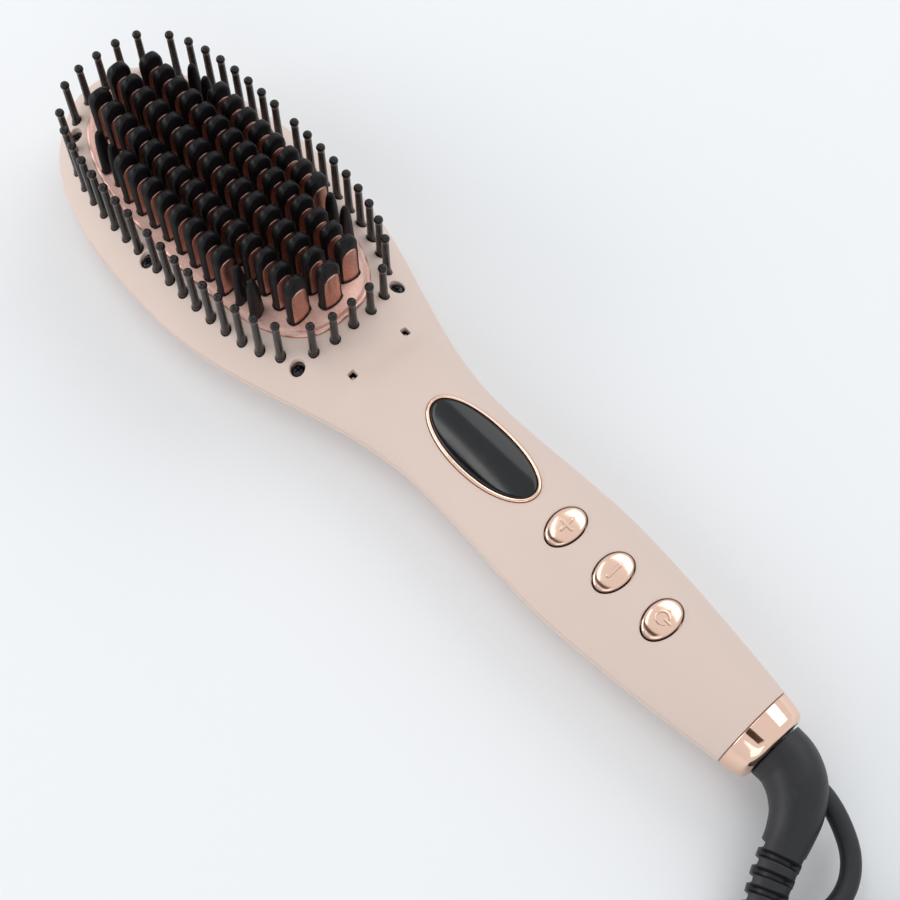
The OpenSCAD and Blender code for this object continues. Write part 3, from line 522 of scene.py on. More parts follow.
def soft_touch(name, paint):
    """Matte paint with a fine grain and faint handling marks"""
    f = Finish(name)
    cloud, grain = f.noise(38, 3), f.noise(0.45, 2)
    marks = f.smooth(f.noise(9, 4, 0.62), 0.5, 0.72)
    return f.done(base_color=f.blend(cloud, shade(paint, 0.965), shade(paint, 1.03)),
                  roughness=0.47 + 0.07 * cloud - 0.05 * marks + 0.05 * grain,
                  specular_ior_level=0.42, normal=f.bump(grain, 0.012))


def anodised(name, tint):
    """Fine-blasted, anodised aluminium, with a painted shade on the faces that turn away from up"""
    f = Finish(name)
    blast, cloud = f.noise(0.4, 3, 0.65), f.noise(14, 2)
    # Painted shade: faces that turn away from up, the fins' sides, take a darker red-brown than the
    # flat plate, standing in for the shade and dark reflections between the fins
    up = f.smooth(f.height_of_normal(), 0.25, 0.8)
    speckle = f.smooth(blast, 0.35, 0.7)
    flat = f.blend(speckle, shade(tint, 0.9), shade(tint, 1.12))
    painted_steep_shade = f.blend(speckle, (0.5, 0.24, 0.175), (0.7, 0.38, 0.29))
    return f.done(base_color=f.blend(up, painted_steep_shade, flat),
                  metallic=0.9, roughness=0.24 + 0.12 * up + 0.08 * cloud + 0.08 * blast,
                  normal=f.bump(blast, 0.03))


def plated(name, tint, rough=0.07, painted_steep_shade=0.95):
    """Mirror plating over moulded plastic, with a trace of orange peel and wiping marks, and a
    painted shade on the faces that turn away from up
    """
    f = Finish(name)
    peel, wiped = f.noise(2.4, 2), f.noise(6, 4, 0.6, f.stretched(1, 3, 1))
    # Painted shade: faces that turn away from up, such as a key's rim and the walls of its raised
    # signs, are darkened to stand in for their dark reflections
    level = f.smooth(f.height_of_normal(), 0.55, 0.9)
    return f.done(base_color=f.blend(level, shade(tint, painted_steep_shade),
                                     f.blend(wiped, shade(tint, 0.97), tint)),
                  metallic=1.0, roughness=rough + 0.06 * f.smooth(wiped, 0.45, 0.75),
                  normal=f.bump(peel, 0.016))


def moulded(name, tint, rough, grain=0.35, depth=0.01, level=0.5, coat=0.0):
    """Moulded plastic with a fine sparked grain and slight flow marks"""
    f = Finish(name)
    flow, spark = f.noise(7, 3), f.noise(grain, 2)
    return f.done(base_color=f.blend(flow, shade(tint, 0.85), shade(tint, 1.25)),
                  roughness=rough - 0.04 + 0.08 * flow + 0.05 * spark,
                  specular_ior_level=level, coat_weight=coat, coat_roughness=0.1,
                  normal=f.bump(spark, depth))


def rubbery(name, tint):
    """Matte rubber with dust in its pores"""
    f = Finish(name)
    pores, dust = f.noise(0.3, 3, 0.6), f.smooth(f.noise(5, 5, 0.68), 0.52, 0.78)
    return f.done(base_color=f.blend(dust, tint, shade(tint, 1.5)),
                  roughness=0.4 + 0.12 * dust + 0.1 * pores, specular_ior_level=0.42,
                  normal=f.bump(pores, 0.03))


def glossy_screen(name, tint):
    """Smoked window: deep black under a hard clear face"""
    f = Finish(name)
    smear = f.noise(12, 4, 0.6)
    return f.done(base_color=f.blend(smear, tint, shade(tint, 1.6)),
                  roughness=0.13 + 0.05 * f.smooth(smear, 0.45, 0.7), specular_ior_level=0.45,
                  normal=f.bump(f.noise(16, 1), 0.008))


def machined(name, tint, rough=0.32):
    """Rolled or turned metal"""
    f = Finish(name)
    lines = f.noise(1.2, 3, 0.6, f.stretched(1, 8, 8))
    return f.done(base_color=f.blend(lines, shade(tint, 0.85), shade(tint, 1.1)), metallic=1.0,
                  roughness=rough - 0.05 + 0.12 * lines, normal=f.bump(lines, 0.006))


def laminate(name, tint):
    """Circuit board: weave under lacquer, with darker tracks"""
    f = Finish(name)
    weave = f.noise(0.5, 2) + f.noise(0.8, 2, place=f.stretched(8, 1, 1))
    tracks = f.smooth(f.noise(2.2, 0, place=f.stretched(1, 3, 1)), 0.47, 0.53)
    return f.done(base_color=f.blend(tracks, shade(tint, 0.6), tint),
                  roughness=0.3 + 0.1 * weave, normal=f.bump(weave, 0.01))


def get_finishes(colours):
    """Every finish by the name of its slot, made once"""
    tint = {key: tuple(getattr(colours, key)) for key in type(colours).__annotations__}
    makers = {
        "shell": lambda n: soft_touch(n, tint["shell"]),
        "plate": lambda n: anodised(n, tint["plate"]),
        "gold": lambda n: plated(n, tint["gold"]),
        # The keys take a strong painted shade on their steep faces, which draws dark outlines round
        # their rims and signs
        "key": lambda n: plated(n, tint["gold"], 0.15, 0.35),
        "cap": lambda n: moulded(n, tint["cap"], 0.42, 0.5, 0.012, 0.13, 0.12),
        "black": lambda n: moulded(n, tint["bristle"], 0.25, 0.4, 0.006, 0.1, 0.42),
        "rubber": lambda n: rubbery(n, tint["rubber"]),
        "lens": lambda n: glossy_screen(n, tint["screen"]),
        "screw": lambda n: machined(n, tint["steel"]),
        "steel": lambda n: machined(n, (0.55, 0.55, 0.56)),
        "contact": lambda n: machined(n, (0.82, 0.6, 0.28), 0.25),
        "pin": lambda n: machined(n, (0.72, 0.7, 0.66), 0.2),
        "ceramic": lambda n: moulded(n, (0.8, 0.78, 0.74), 0.6, 0.6, 0.02),
        "sheet": lambda n: moulded(n, (0.78, 0.72, 0.55), 0.7, 0.5, 0.03),
        "parts": lambda n: moulded(n, (0.03, 0.03, 0.034), 0.45, 0.4, 0.015),
        "lead": lambda n: rubbery(n, (0.5, 0.03, 0.02)),
        "board": lambda n: laminate(n, (0.02, 0.16, 0.07)),
    }
    return {slot: bpy.data.materials.get(slot + " finish") or make(slot + " finish")
            for slot, make in makers.items()}


def workshop(context):
    """The form and the finishes that the operators work from"""
    return Form(context.scene.brush_sizes), get_finishes(context.scene.brush_colours)


# Camera, floor and light

CAMERA_AT = (0.224348, -0.129363, 0.416714)
CAMERA_RIGHT = (0.68794274, 0.72571794, 0.00826142)
CAMERA_DOWN = (0.66456986, -0.62532103, -0.40904829)
CAMERA_AHEAD = (-0.29168764, 0.2868921, -0.91247534)
FOCAL_PX, PICTURE_PX, SENSOR = 1614.87, 900, 36.0


class HAIRBRUSH_OT_stage(bpy.types.Operator):
    """Camera at the photograph's angle, pale floor and soft studio light"""
    bl_idname = "hairbrush.stage"
    bl_label = "Camera, floor and light"

    def execute(self, context):
        scene = context.scene
        lens = bpy.data.cameras.new("camera")
        lens.sensor_width, lens.lens = SENSOR, FOCAL_PX / PICTURE_PX * SENSOR
        lens.clip_start, lens.clip_end = 0.01, 20
        camera = add_object("camera", lens)
        turn = Matrix((CAMERA_RIGHT, [-v for v in CAMERA_DOWN],
                       [-v for v in CAMERA_AHEAD])).transposed()
        camera.matrix_world = Matrix.Translation(CAMERA_AT) @ turn.to_4x4()
        scene.camera = camera

        f = Finish("floor paper")
        mottle, tint = f.noise(60, 3), tuple(scene.brush_colours.floor)
        paper = f.done(base_color=f.blend(mottle, shade(tint, 0.99), tint),
                       roughness=0.6 + 0.1 * mottle, specular_ior_level=0.2)
        self.sheet("floor", (-3, 3), (-3, 3), -0.0001, paper)
        # A dark flag, which the polished pieces reflect as a band
        f = Finish("flag cloth")
        cloth = f.done(base_color=f.blend(f.noise(30), (0.05, 0.026, 0.014), (0.07, 0.04, 0.022)),
                       roughness=0.9)
        self.sheet("flag_1", (-1, 0.6), (-0.78, -0.36), 1.25, cloth)

        world = bpy.data.worlds.new("studio")
        world.use_nodes = True
        sky = world.node_tree.nodes["Background"].inputs
        sky["Color"].default_value, sky["Strength"].default_value = (0.95, 0.975, 1, 1), 0.84
        scene.world = world
        scene.view_settings.view_transform = "Standard"
        for name, spot, aim, size, power in (
                ("key light", (0.0, 1.35, 1.1), (0.08, 0, 0), (1.5, 1.0), 6.3),
                ("strip light", (-0.35, -0.22, 1.3), (0.08, 0, 0), (1.4, 0.16), 2.2),
                ("fill light", (0.9, -0.9, 0.7), (0.1, 0, 0), (0.9, 0.7), 1.6),
                ("low light", (-0.75, -0.8, 0.45), (-0.04, 0, 0), (0.9, 0.5), 4.2)):
            glow = bpy.data.lights.new(name, "AREA")
            glow.shape, glow.energy = "RECTANGLE", power
            glow.size, glow.size_y = size
            lamp = add_object(name, glow)
            lamp.location = spot
            lamp.rotation_euler = (Vector(aim) - Vector(spot)).to_track_quat("-Z", "Y").to_euler()
        return {"FINISHED"}

    def sheet(self, name, across, along_y, z, material):
        """Flat sheet of the studio, in metres"""
        (x, far_x), (y, far_y) = across, along_y
        mesh = bpy.data.meshes.new(name)
        mesh.from_pydata([(x, y, z), (far_x, y, z), (far_x, far_y, z), (x, far_y, z)], [],
                         [(0, 1, 2, 3)])
        mesh.materials.append(material)
        add_object(name, mesh)


# Cord, its tie and its plug

def coil_path(form):
    """Centreline of the lead: from the strain relief, round the coil in two layers, to the plug"""
    cx, cy = form.coil
    step = 2 * form.lead_r
    radii = [form.coil_r + form.lead_r * (COIL_COLS - 1 - 2 * k) for k in range(COIL_COLS)]
    radii += radii[::-1]
    out_x, out_y = LEAD_ROUTE[-1][:2]
    entry = math.degrees(math.atan2(out_y - cy, form.body_reach + out_x - cx))
    last = 2 * COIL_COLS - 1
    total = 360 * last - entry
    points, count = [], int(total / 15)
    for i in range(1, count + 1):
        angle = total * i / count
        lap, at = int(angle // 360), angle % 360
        r, z = radii[lap], form.lead_r + step * (lap >= COIL_COLS)
        if lap < COIL_COLS - 1:
            r = mix(r, radii[lap + 1], ease((at - 255) / 105))
        elif lap == COIL_COLS - 1:
            z += step * ease((at - 215) / 100)
        elif lap < last:
            r = mix(r, radii[lap + 1], ease((at - 140) / 110))
        turn = math.radians(entry + angle)
        points.append((cx + r * math.cos(turn), cy + r * math.sin(turn), z))
    x, y = form.plug_at
    tail = [(x, mix(cy, y, 0.5), 8.2), (x, y + 0.4, PLUG_H / 2 + 0.15)]
    return spline([form.handle_end(p) for p in LEAD_ROUTE] + points + tail, 4)


class HAIRBRUSH_OT_cord(bpy.types.Operator):
    """Lead from the strain relief through its coil, with its tie and plug"""
    bl_idname = "hairbrush.cord"
    bl_label = "Cord, tie and plug"

    def execute(self, context):
        form, finishes = workshop(context)
        path = coil_path(form)
        curve = bpy.data.curves.new("cord", "CURVE")
        curve.dimensions, curve.bevel_depth, curve.bevel_resolution = "3D", form.lead_r * MM, 5
        curve.use_fill_caps = True
        line = curve.splines.new("POLY")
        line.points.add(len(path) - 1)
        for point, at in zip(line.points, path):
            point.co = (at[0] * MM, at[1] * MM, at[2] * MM, 1)
        line.use_smooth = True
        curve.materials.append(finishes["rubber"])
        cord = add_object("cord", curve)
        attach(cord, "swivel")
        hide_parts("cord_tube", "cord_coil")

        tuple(v * MM for v in path[0])
        self.tie(form, finishes)
        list(self.plug(form, finishes))
        return {"FINISHED"}

    def tie(self, form, finishes):
        """Strap over the coil, with its ends turned in under the outer turns"""
        half, high = form.lead_r * COIL_COLS, 4 * form.lead_r
        outline = [(-half - 0.1, 0.3), (-half - 0.1, high - 1.6), (-half + 1.5, high + 0.1),
                   (0, high + 0.2), (half - 1.5, high + 0.1), (half + 0.1, high - 1.6),
                   (half + 0.1, 0.3)]
        line = spline(outline, 6)
        shape = Shape()
        turn = math.radians(TIE_TURN)
        rings = []
        for i, (u, z) in enumerate(line):
            a, b = line[max(0, i - 1)], line[min(len(line) - 1, i + 1)]
            du, dz = b[0] - a[0], b[1] - a[1]
            span = math.hypot(du, dz)
            nu, nz = -dz / span, du / span
            ring = []
            for v, t in ((-4.3, 0), (4.3, 0), (4.5, 0.25), (4.4, 0.6), (3.9, 0.72), (-3.9, 0.72),
                         (-4.4, 0.6), (-4.5, 0.25)):
                r = form.coil_r + u + nu * t
                ring.append((form.coil[0] + r * math.cos(turn) - v * math.sin(turn),
                             form.coil[1] + r * math.sin(turn) + v * math.cos(turn), z + nz * t))
            rings.append(ring)
        return shape.loft(rings).piece(finishes, "coil_strap", "swivel", "black", "coil_tie")

    def plug(self, form, finishes):
        """Flat two-pin plug with a tapered neck"""
        (x, start), z = form.plug_at, PLUG_H / 2
        stations = [(0, 3.5, 3.5, 2), (0.6, 3.75, 3.75, 2), (6, 4.1, 4.1, 2), (10, 4.5, 4.4, 2),
                    (12.5, 5.4, 5.1, 2.1), (14, 7.0, 6.0, 2.3), (17, 9.6, 6.6, 2.8),
                    (22, 13.2, 6.8, 3.4), (27, 16.2, 6.83, 4.0), (30.5, 17.4, 6.84, 4.6),
                    (36, 17.5, 6.84, 5), (42, 17.45, 6.84, 5), (47, 17.4, 6.82, 5),
                    (47.6, 17.2, 6.65, 5), (47.9, 16.8, 6.3, 5),
                    (PLUG_L, 16.0, 5.6, 5)]
        plug = Shape().loft([[(px, start + d, pz) for px, pz in oval(x, a, b, n, 64, z)]
                             for d, a, b, n in stations])
        pins = Shape()
        for side in (-1, 1):
            foot = (x + side * PIN_SIDE, start + PLUG_L, z)
            plug.turned([(2.0, -0.5), (2.0, 9.8), (1.85, 10)], foot, 24, "Y")
            pins.turned([(1.6, 9), (1.98, 10.05), (1.98, 17.2), (1.75, 18.3), (1.1, 18.85),
                         (0.3, 19)], foot, 24, "Y")
        return (plug.piece(finishes, "plug_shell", "swivel", "rubber", "plug_body"),
                pins.piece(finishes, "plug_contacts", "swivel", "pin", "plug_pins"))


# Shells

SEAM_TURNS = [0, 0.5, 1, 1.6, 2.6, 3.8, 5.2, 7.5]
ARC_TURNS = SEAM_TURNS + [10 + 2.5 * k for k in range(65)] + [180 - t for t in reversed(SEAM_TURNS)]
TIP_RUN = 30.0


def half_shell(form, side):
    """Outer and inner skin of one shell, rounded where it meets the seam"""
    tips = [0.3 + (TIP_RUN - 0.3) * (k / 34) ** 2 for k in range(34)]
    count = 118
    outer_x = [t - form.tip_reach for t in tips] \
        + [mix(TIP_RUN - form.tip_reach, form.trim_x - 0.3, k / count) for k in range(count + 1)] \
        + [form.trim_x - 0.09, form.trim_x]
    edge_inset = [0.0] * (len(outer_x) - 2) + [0.09, 0.3]
    spigot = [form.trim_x + 0.02, form.body_reach - TRIM_WALL - 3]
    rings = [form.arc(x, inset, side, ARC_TURNS, SEAM_EDGE)
             for x, inset in zip(outer_x, edge_inset)]
    rings += [form.arc(x, TRIM_WALL + SEAT, side, ARC_TURNS) for x in spigot]
    inner = []
    for x in outer_x + spigot:
        t = x + form.tip_reach
        if t < TIP_RUN:
            x = mix(WALL + 0.6, TIP_RUN, t / TIP_RUN) - form.tip_reach
        inner.append(form.arc(x, WALL, side, ARC_TURNS))
    # The nose: the first section drawn in to a point
    seam = form.seam_h + side * SEAM_GAP / 2

    def drawn_in(arc, share, ahead):
        return [(x - ahead, y * share, mix(seam, z, share)) for x, y, z in arc]
    nose = [(share, 0.15 * (1 - share * share)) for share in (0.02, 0.4, 0.75)]
    rings = [drawn_in(rings[0], share, ahead) for share, ahead in nose] + rings
    inner = [drawn_in(inner[0], share, 0) for share, ahead in nose] + inner
    # Each section runs once round: over the outer skin and back under the inner one
    return Shape().loft([a + list(reversed(b)) for a, b in zip(rings, inner)])


def cut_hole(shape, form, x, y, a, b, n, count, floor_z, lip):
    """A cutter that follows the surface and rounds the hole's edge"""
    steps = [(0.0, None), (0.0, -lip), (0.3 * lip, -0.3 * lip), (lip, 0.01), (lip, 3.0)]
    shape.loft([[(px, py, floor_z if lift is None else form.top_z(px, py) + lift)
                 for px, py in oval(x, a + grow, b + grow, n, count, y)] for grow, lift in steps])


class HAIRBRUSH_OT_shells(bpy.types.Operator):
    """Both shells of the body, with every hole of the front one"""
    bl_idname = "hairbrush.shells"
    bl_label = "Shells"

    def execute(self, context):
        form, finishes = workshop(context)
        holes, seats = Shape(), Shape()
        low = form.seam_h + 1
        a, b = form.plate_a - RIM_LAP + SEAT, form.plate_b - RIM_LAP + SEAT
        holes.loft([[(x, y, z) for x, y in oval(0, a, b, PLATE_N, 120)]
                    for z in (FRAME_TOP, form.crown_h + 5)])
        r = form.foot_r + 0.15
        for x, y in form.pins():
            cut_hole(holes, form, x, y, r, r, 2, 20, low, 0.16)
        for x, y in form.wells:
            top = form.top_z(x, y) - WELL_DEPTH
            cut_hole(holes, form, x, y, WELL_R, WELL_R, 2, 32, top, 0.32)
            holes.turned([(SCREW_HOLE_R, low - 6), (SCREW_HOLE_R, top + 0.02)], (x, y, 0), 16)
            # The screw's seat, under the deck
            section = [(SCREW_SEAT_R, top), (SCREW_HOLE_R, top), (SCREW_HOLE_R, top - SCREW_SEAT_T),
                        (SCREW_SEAT_R, top - SCREW_SEAT_T)]
            seats.hoop([[(px, py, z) for px, py in oval(x, out, out, 2, 32, y)]
                        for out, z in section])
        for x, y in form.outlets:
            cut_hole(holes, form, x, y, 1.2, 1.1, 6, 28, form.crown_h - 10, 0.14)
        cut_hole(holes, form, form.display_x, 0, form.display_a + SEAT, form.display_b + SEAT,
                 LIP_N, 96, low + 4, 0.25)
        for x in form.keys:
            cut_hole(holes, form, x, 0, form.key_a + SLIP, form.key_b + SLIP, 2, 64, low + 4, 0.3)
        half_shell(form, 1).piece(finishes, "front_moulding", "brush", "shell", "front_shell",
                                  cutter=holes)
        seats.piece(finishes, "screw_seats", "brush", "shell")
        half_shell(form, -1).piece(finishes, "rear_moulding", "brush", "shell", "rear_shell")
        return {"FINISHED"}


# Heater plate, fins, caps and teeth

def plate_z(form, x, y):
    rim = (abs(x) / (form.plate_a - RIM_BAND)) ** PLATE_N \
        + (abs(y) / (form.plate_b - RIM_BAND)) ** PLATE_N > 1
    return form.top_z(x, y) + (RIM_LIFT if rim else PLATE_LIFT)


class HAIRBRUSH_OT_heater(bpy.types.Operator):
    """Crowned heater plate with its field of fins"""
    bl_idname = "hairbrush.heater"
    bl_label = "Heater plate and fins"

    def execute(self, context):
        form, finishes = workshop(context)
        count = 160
        steps = [(form.plate_b - 0.4 - 1.9 * k, PLATE_LIFT) for k in range(11)]
        steps += [(RIM_BAND + 0.2, PLATE_LIFT), (1.9, 0.52), (1.6, 0.6), (1.3, 0.7), (1.0, 0.79),
                  (0.75, 0.84), (0.5, 0.84), (0.3, 0.79), (0.13, 0.67), (0.03, 0.48), (0, SEAT),
                  (RIM_LAP, SEAT), (RIM_LAP, None, FRAME_TOP + SEAT), (3, None, FRAME_TOP + SEAT),
                  (3, None, FRAME_TOP + 3), (form.plate_b - 0.4, None, FRAME_TOP + 6)]
        plate = Shape()
        plate.loft(form.crowned(0, form.plate_a, form.plate_b, PLATE_N, count, steps))
        for x, y, row, tooth in form.blades():
            if not tooth:
                self.fin(plate, form, x, y, form.cap_h - form.cap_drop * row - form.cap_top)
        plate.piece(finishes, "heater_casting", "brush", "plate", "heater_plate", sharp=50)
        return {"FINISHED"}

    def fin(self, shape, form, x, y, top):
        """Fin with two bowed faces and a round top"""
        w = form.cap_w / 2 - form.cap_wall - FIT
        low = plate_z(form, x, y) - 0.8
        rings = []
        for k in range(13):
            dy = -w + 2 * w * k / 12
            bow = math.sqrt(FIN_BOW_R ** 2 - dy * dy) - 5.05
            high = top - w + math.sqrt(max(0.0, w * w - dy * dy))
            half = [(bow, low), (bow, mix(low, high, 0.35)), (bow, mix(low, high, 0.7)),
                    (bow, high - 0.5), (bow * 0.93, high - 0.2), (bow * 0.8, high)]
            rings.append([(x + t, y + dy, z) for t, z in half]
                         + [(x - t, y + dy, z) for t, z in reversed(half)])
        shape.loft(rings)


class HAIRBRUSH_OT_caps(bpy.types.Operator):
    """Heat-guard caps over the fins, and the plain teeth of the outer rows"""
    bl_idname = "hairbrush.caps"
    bl_label = "Caps and teeth"

    def execute(self, context):
        form, finishes = workshop(context)
        caps, teeth = Shape(), Shape()
        for x, y, row, tooth in form.blades():
            top = form.cap_h - form.cap_drop * row
            if tooth:
                self.tooth(teeth, form, x, y, top - 2)
            else:
                self.cap(caps, form, x, y, top)
        caps.piece(finishes, "blade_caps", "brush", "cap", "fin_caps", sharp=55)
        teeth.piece(finishes, "blade_teeth", "brush", "cap", "edge_teeth", sharp=55)
        return {"FINISHED"}

    def cap(self, shape, form, x, y, top):
        """Arch with rounded edges and slightly flared feet"""
        outer, inner = form.cap_w / 2, form.cap_w / 2 - form.cap_wall
        inner_top = top - form.cap_top + FIT

        def leg(side):
            foot = plate_z(form, x, y + side * (outer - 0.5)) + 0.02
            steps = [(foot + h, 0.28 * max(0.0, 1 - h / 1.2) ** 2)
                     for h in (0, 0.25, 0.6, 1.2, 2.2)]
            steps += [(mix(foot + 2.2, inner_top - inner, s), 0.0) for s in (0.35, 0.7, 1.0)]
            return [self.section(form, x, y, top, (side * (outer + flare), z), (side * inner, z),
                                 flare) for z, flare in steps]
        rings = leg(-1)
        for k in range(1, 16):
            a = math.pi * k / 16
            c, s = -math.cos(a), math.sin(a)
            rings.append(self.section(form, x, y, top, (outer * c, top - NAIL + NAIL * s),
                                      (inner * c, inner_top - inner + inner * s)))
        shape.loft(rings + leg(1)[::-1])
        # Thin black ring round the fin's foot, drawn for the dark line along it
        shape.hoop([[(px, py, plate_z(form, px, py) + lift)
                     for px, py in oval(x, 2.28 - inset, outer - inset, 2.6, 28, y)]
                    for inset, lift in ((0, -0.1), (0.03, 0.28), (0.26, 0.34), (0.3, -0.1))])

    def section(self, form, x, y, top, far, near, flare=0.0):
        """One cross-section of a cap, from the inner arch out to the outer one and back"""
        thick = math.hypot(far[0] - near[0], far[1] - near[1])
        half, flat = form.cap_t / 2 - 0.02, form.cap_w / 2 - form.cap_t / 2
        front = []
        for s in (0.0, 0.05, 0.3, 0.55, 0.75, 0.88, 0.95, 0.99):
            dy, z = mix(near[0], far[0], s), mix(near[1], far[1], s)
            past = min(half, max(0.0, abs(dy) - flare - flat))
            plan = math.sqrt(half * half - past * past) + flare * 0.6
            nail = math.sqrt(1 - (0.93 * clamp01((z - top + NAIL) / NAIL)) ** 2)
            edge = clamp01(1 - (1 - s) * thick / 0.5)
            front.append((max(0.12, plan * nail * math.sqrt(1 - edge * edge)
                              * (0.95 if s == 0 else 1)), dy, z))
        return [(x + t, y + dy, z) for t, dy, z in front] \
            + [(x - t, y + dy, z) for t, dy, z in reversed(front)]

    def tooth(self, shape, form, x, y, top):
        """Slim tooth that tapers to a round point"""
        foot = min(plate_z(form, x, y + 2), plate_z(form, x, y - 2)) + 0.05
        steps = [(0, 1.12, 1.14), (0.025, 1.0, 1.0), (0.3, 0.94, 0.97), (0.55, 0.86, 0.91),
                 (0.75, 0.74, 0.82), (0.87, 0.6, 0.71), (0.94, 0.46, 0.58), (0.98, 0.28, 0.4),
                 (1.0, 0.1, 0.16)]
        shape.loft([[(px, py, mix(foot, top, s)) for px, py in
                     oval(x, 1.45 * b, 2.3 * a, 2.2, 28, y)] for s, a, b in steps])


# Bristles and screws

class HAIRBRUSH_OT_bristles(bpy.types.Operator):
    """Ring of ball-tipped bristles"""
    bl_idname = "hairbrush.bristles"
    bl_label = "Bristles"

    def execute(self, context):
        form, finishes = workshop(context)
        shape = Shape()
        for x, y in form.pins():
            ball, collar = form.ball_h - 0.023 * x, form.top_z(x, y) + 0.5
            r = form.ball_r
            profile = [(form.foot_r, FRAME_TOP), (form.foot_r, collar - 0.2),
                       (form.foot_r - 0.06, collar), (form.foot_r - 0.16, collar + 0.35),
                       (form.foot_r - 0.2, collar + 0.9)]
            profile += [(mix(form.foot_r - 0.22, form.stem_r + 0.08, s ** 0.7),
                         mix(collar + 0.9, ball - r, s)) for s in (0.25, 0.5, 0.75, 0.97)]
            profile += [(r * math.sin(math.radians(a)), ball - r * math.cos(math.radians(a)))
                        for a in (52, 66, 80, 94, 108, 122, 136, 150, 163, 174)]
            shape.turned(profile, (x, y, 0), 20)
        shape.piece(finishes, "bristles", "brush", "black", "bristle_pins", sharp=60)
        return {"FINISHED"}


class HAIRBRUSH_OT_screws(bpy.types.Operator):
    """Cross-recess screws in their wells"""
    bl_idname = "hairbrush.screws"
    bl_label = "Screws"

    def execute(self, context):
        form, finishes = workshop(context)
        profile = [(1.25, -9), (1.25, 0), (1.9, 0.05), (1.95, 0.5), (1.85, 0.85), (1.5, 1.18),
                   (0.9, 1.36), (0.2, 1.4)]
        blank = Shape().turned(profile, (0, 0, 0), 40).object("screw")
        # The two bars of the cross
        for a, b in ((1.15, 0.24), (0.24, 1.15)):
            Shape().loft([[(px * s, py * s, z) for px, py in ((a, b), (-a, b), (-a, -b), (a, -b))]
                          for s, z in ((0.7, 0.35), (1.0, 1.6))]).cut(blank)
        screw = Shape()
        screw.points = [tuple(v.co / MM) for v in blank.data.vertices]
        screw.faces = [tuple(face.vertices) for face in blank.data.polygons]
        bpy.data.objects.remove(blank)
        spots = [(x, y, form.top_z(x, y) - WELL_DEPTH + FIT) for x, y in form.wells]
        Shape().copies(screw, spots).piece(finishes, "deck_screws", "brush", "screw", "head_screws")
        return {"FINISHED"}


# Display and keys

class HAIRBRUSH_OT_display(bpy.types.Operator):
    """Glossy oval window in its polished bezel"""
    bl_idname = "hairbrush.display"
    bl_label = "Display"

    def execute(self, context):
        form, finishes = workshop(context)
        x, a, b, w = form.display_x, form.display_a, form.display_b, form.bezel_w
        turns = [math.radians(t) for t in range(0, 181, 20)]
        rings = [(w, 0.05)]
        rings += [(w / 2 + w / 2 * math.cos(t), 0.15 + 0.42 * math.sin(t)) for t in turns]
        rings += [(0, -1.6), (w, -1.6)]
        bezel = Shape().hoop(form.crowned(x, a, b, LIP_N, 120, rings))
        bezel.piece(finishes, "bezel_ring", "brush", "gold", "display_bezel", sharp=50)
        gap = w + SEAT
        steps = [(b - gap - 0.3 - 0.95 * k, 0.3) for k in range(7)]
        steps += [(0.9, 0.3), (0.5, 0.26), (0.25, 0.18), (0.08, 0.04), (0, -0.15), (0, -1.2)]
        lens = Shape().loft(form.crowned(x, a - gap, b - gap, LIP_N, 120, steps))
        lens.piece(finishes, "display_window", "brush", "lens", "display_lens", sharp=60)
        return {"FINISHED"}


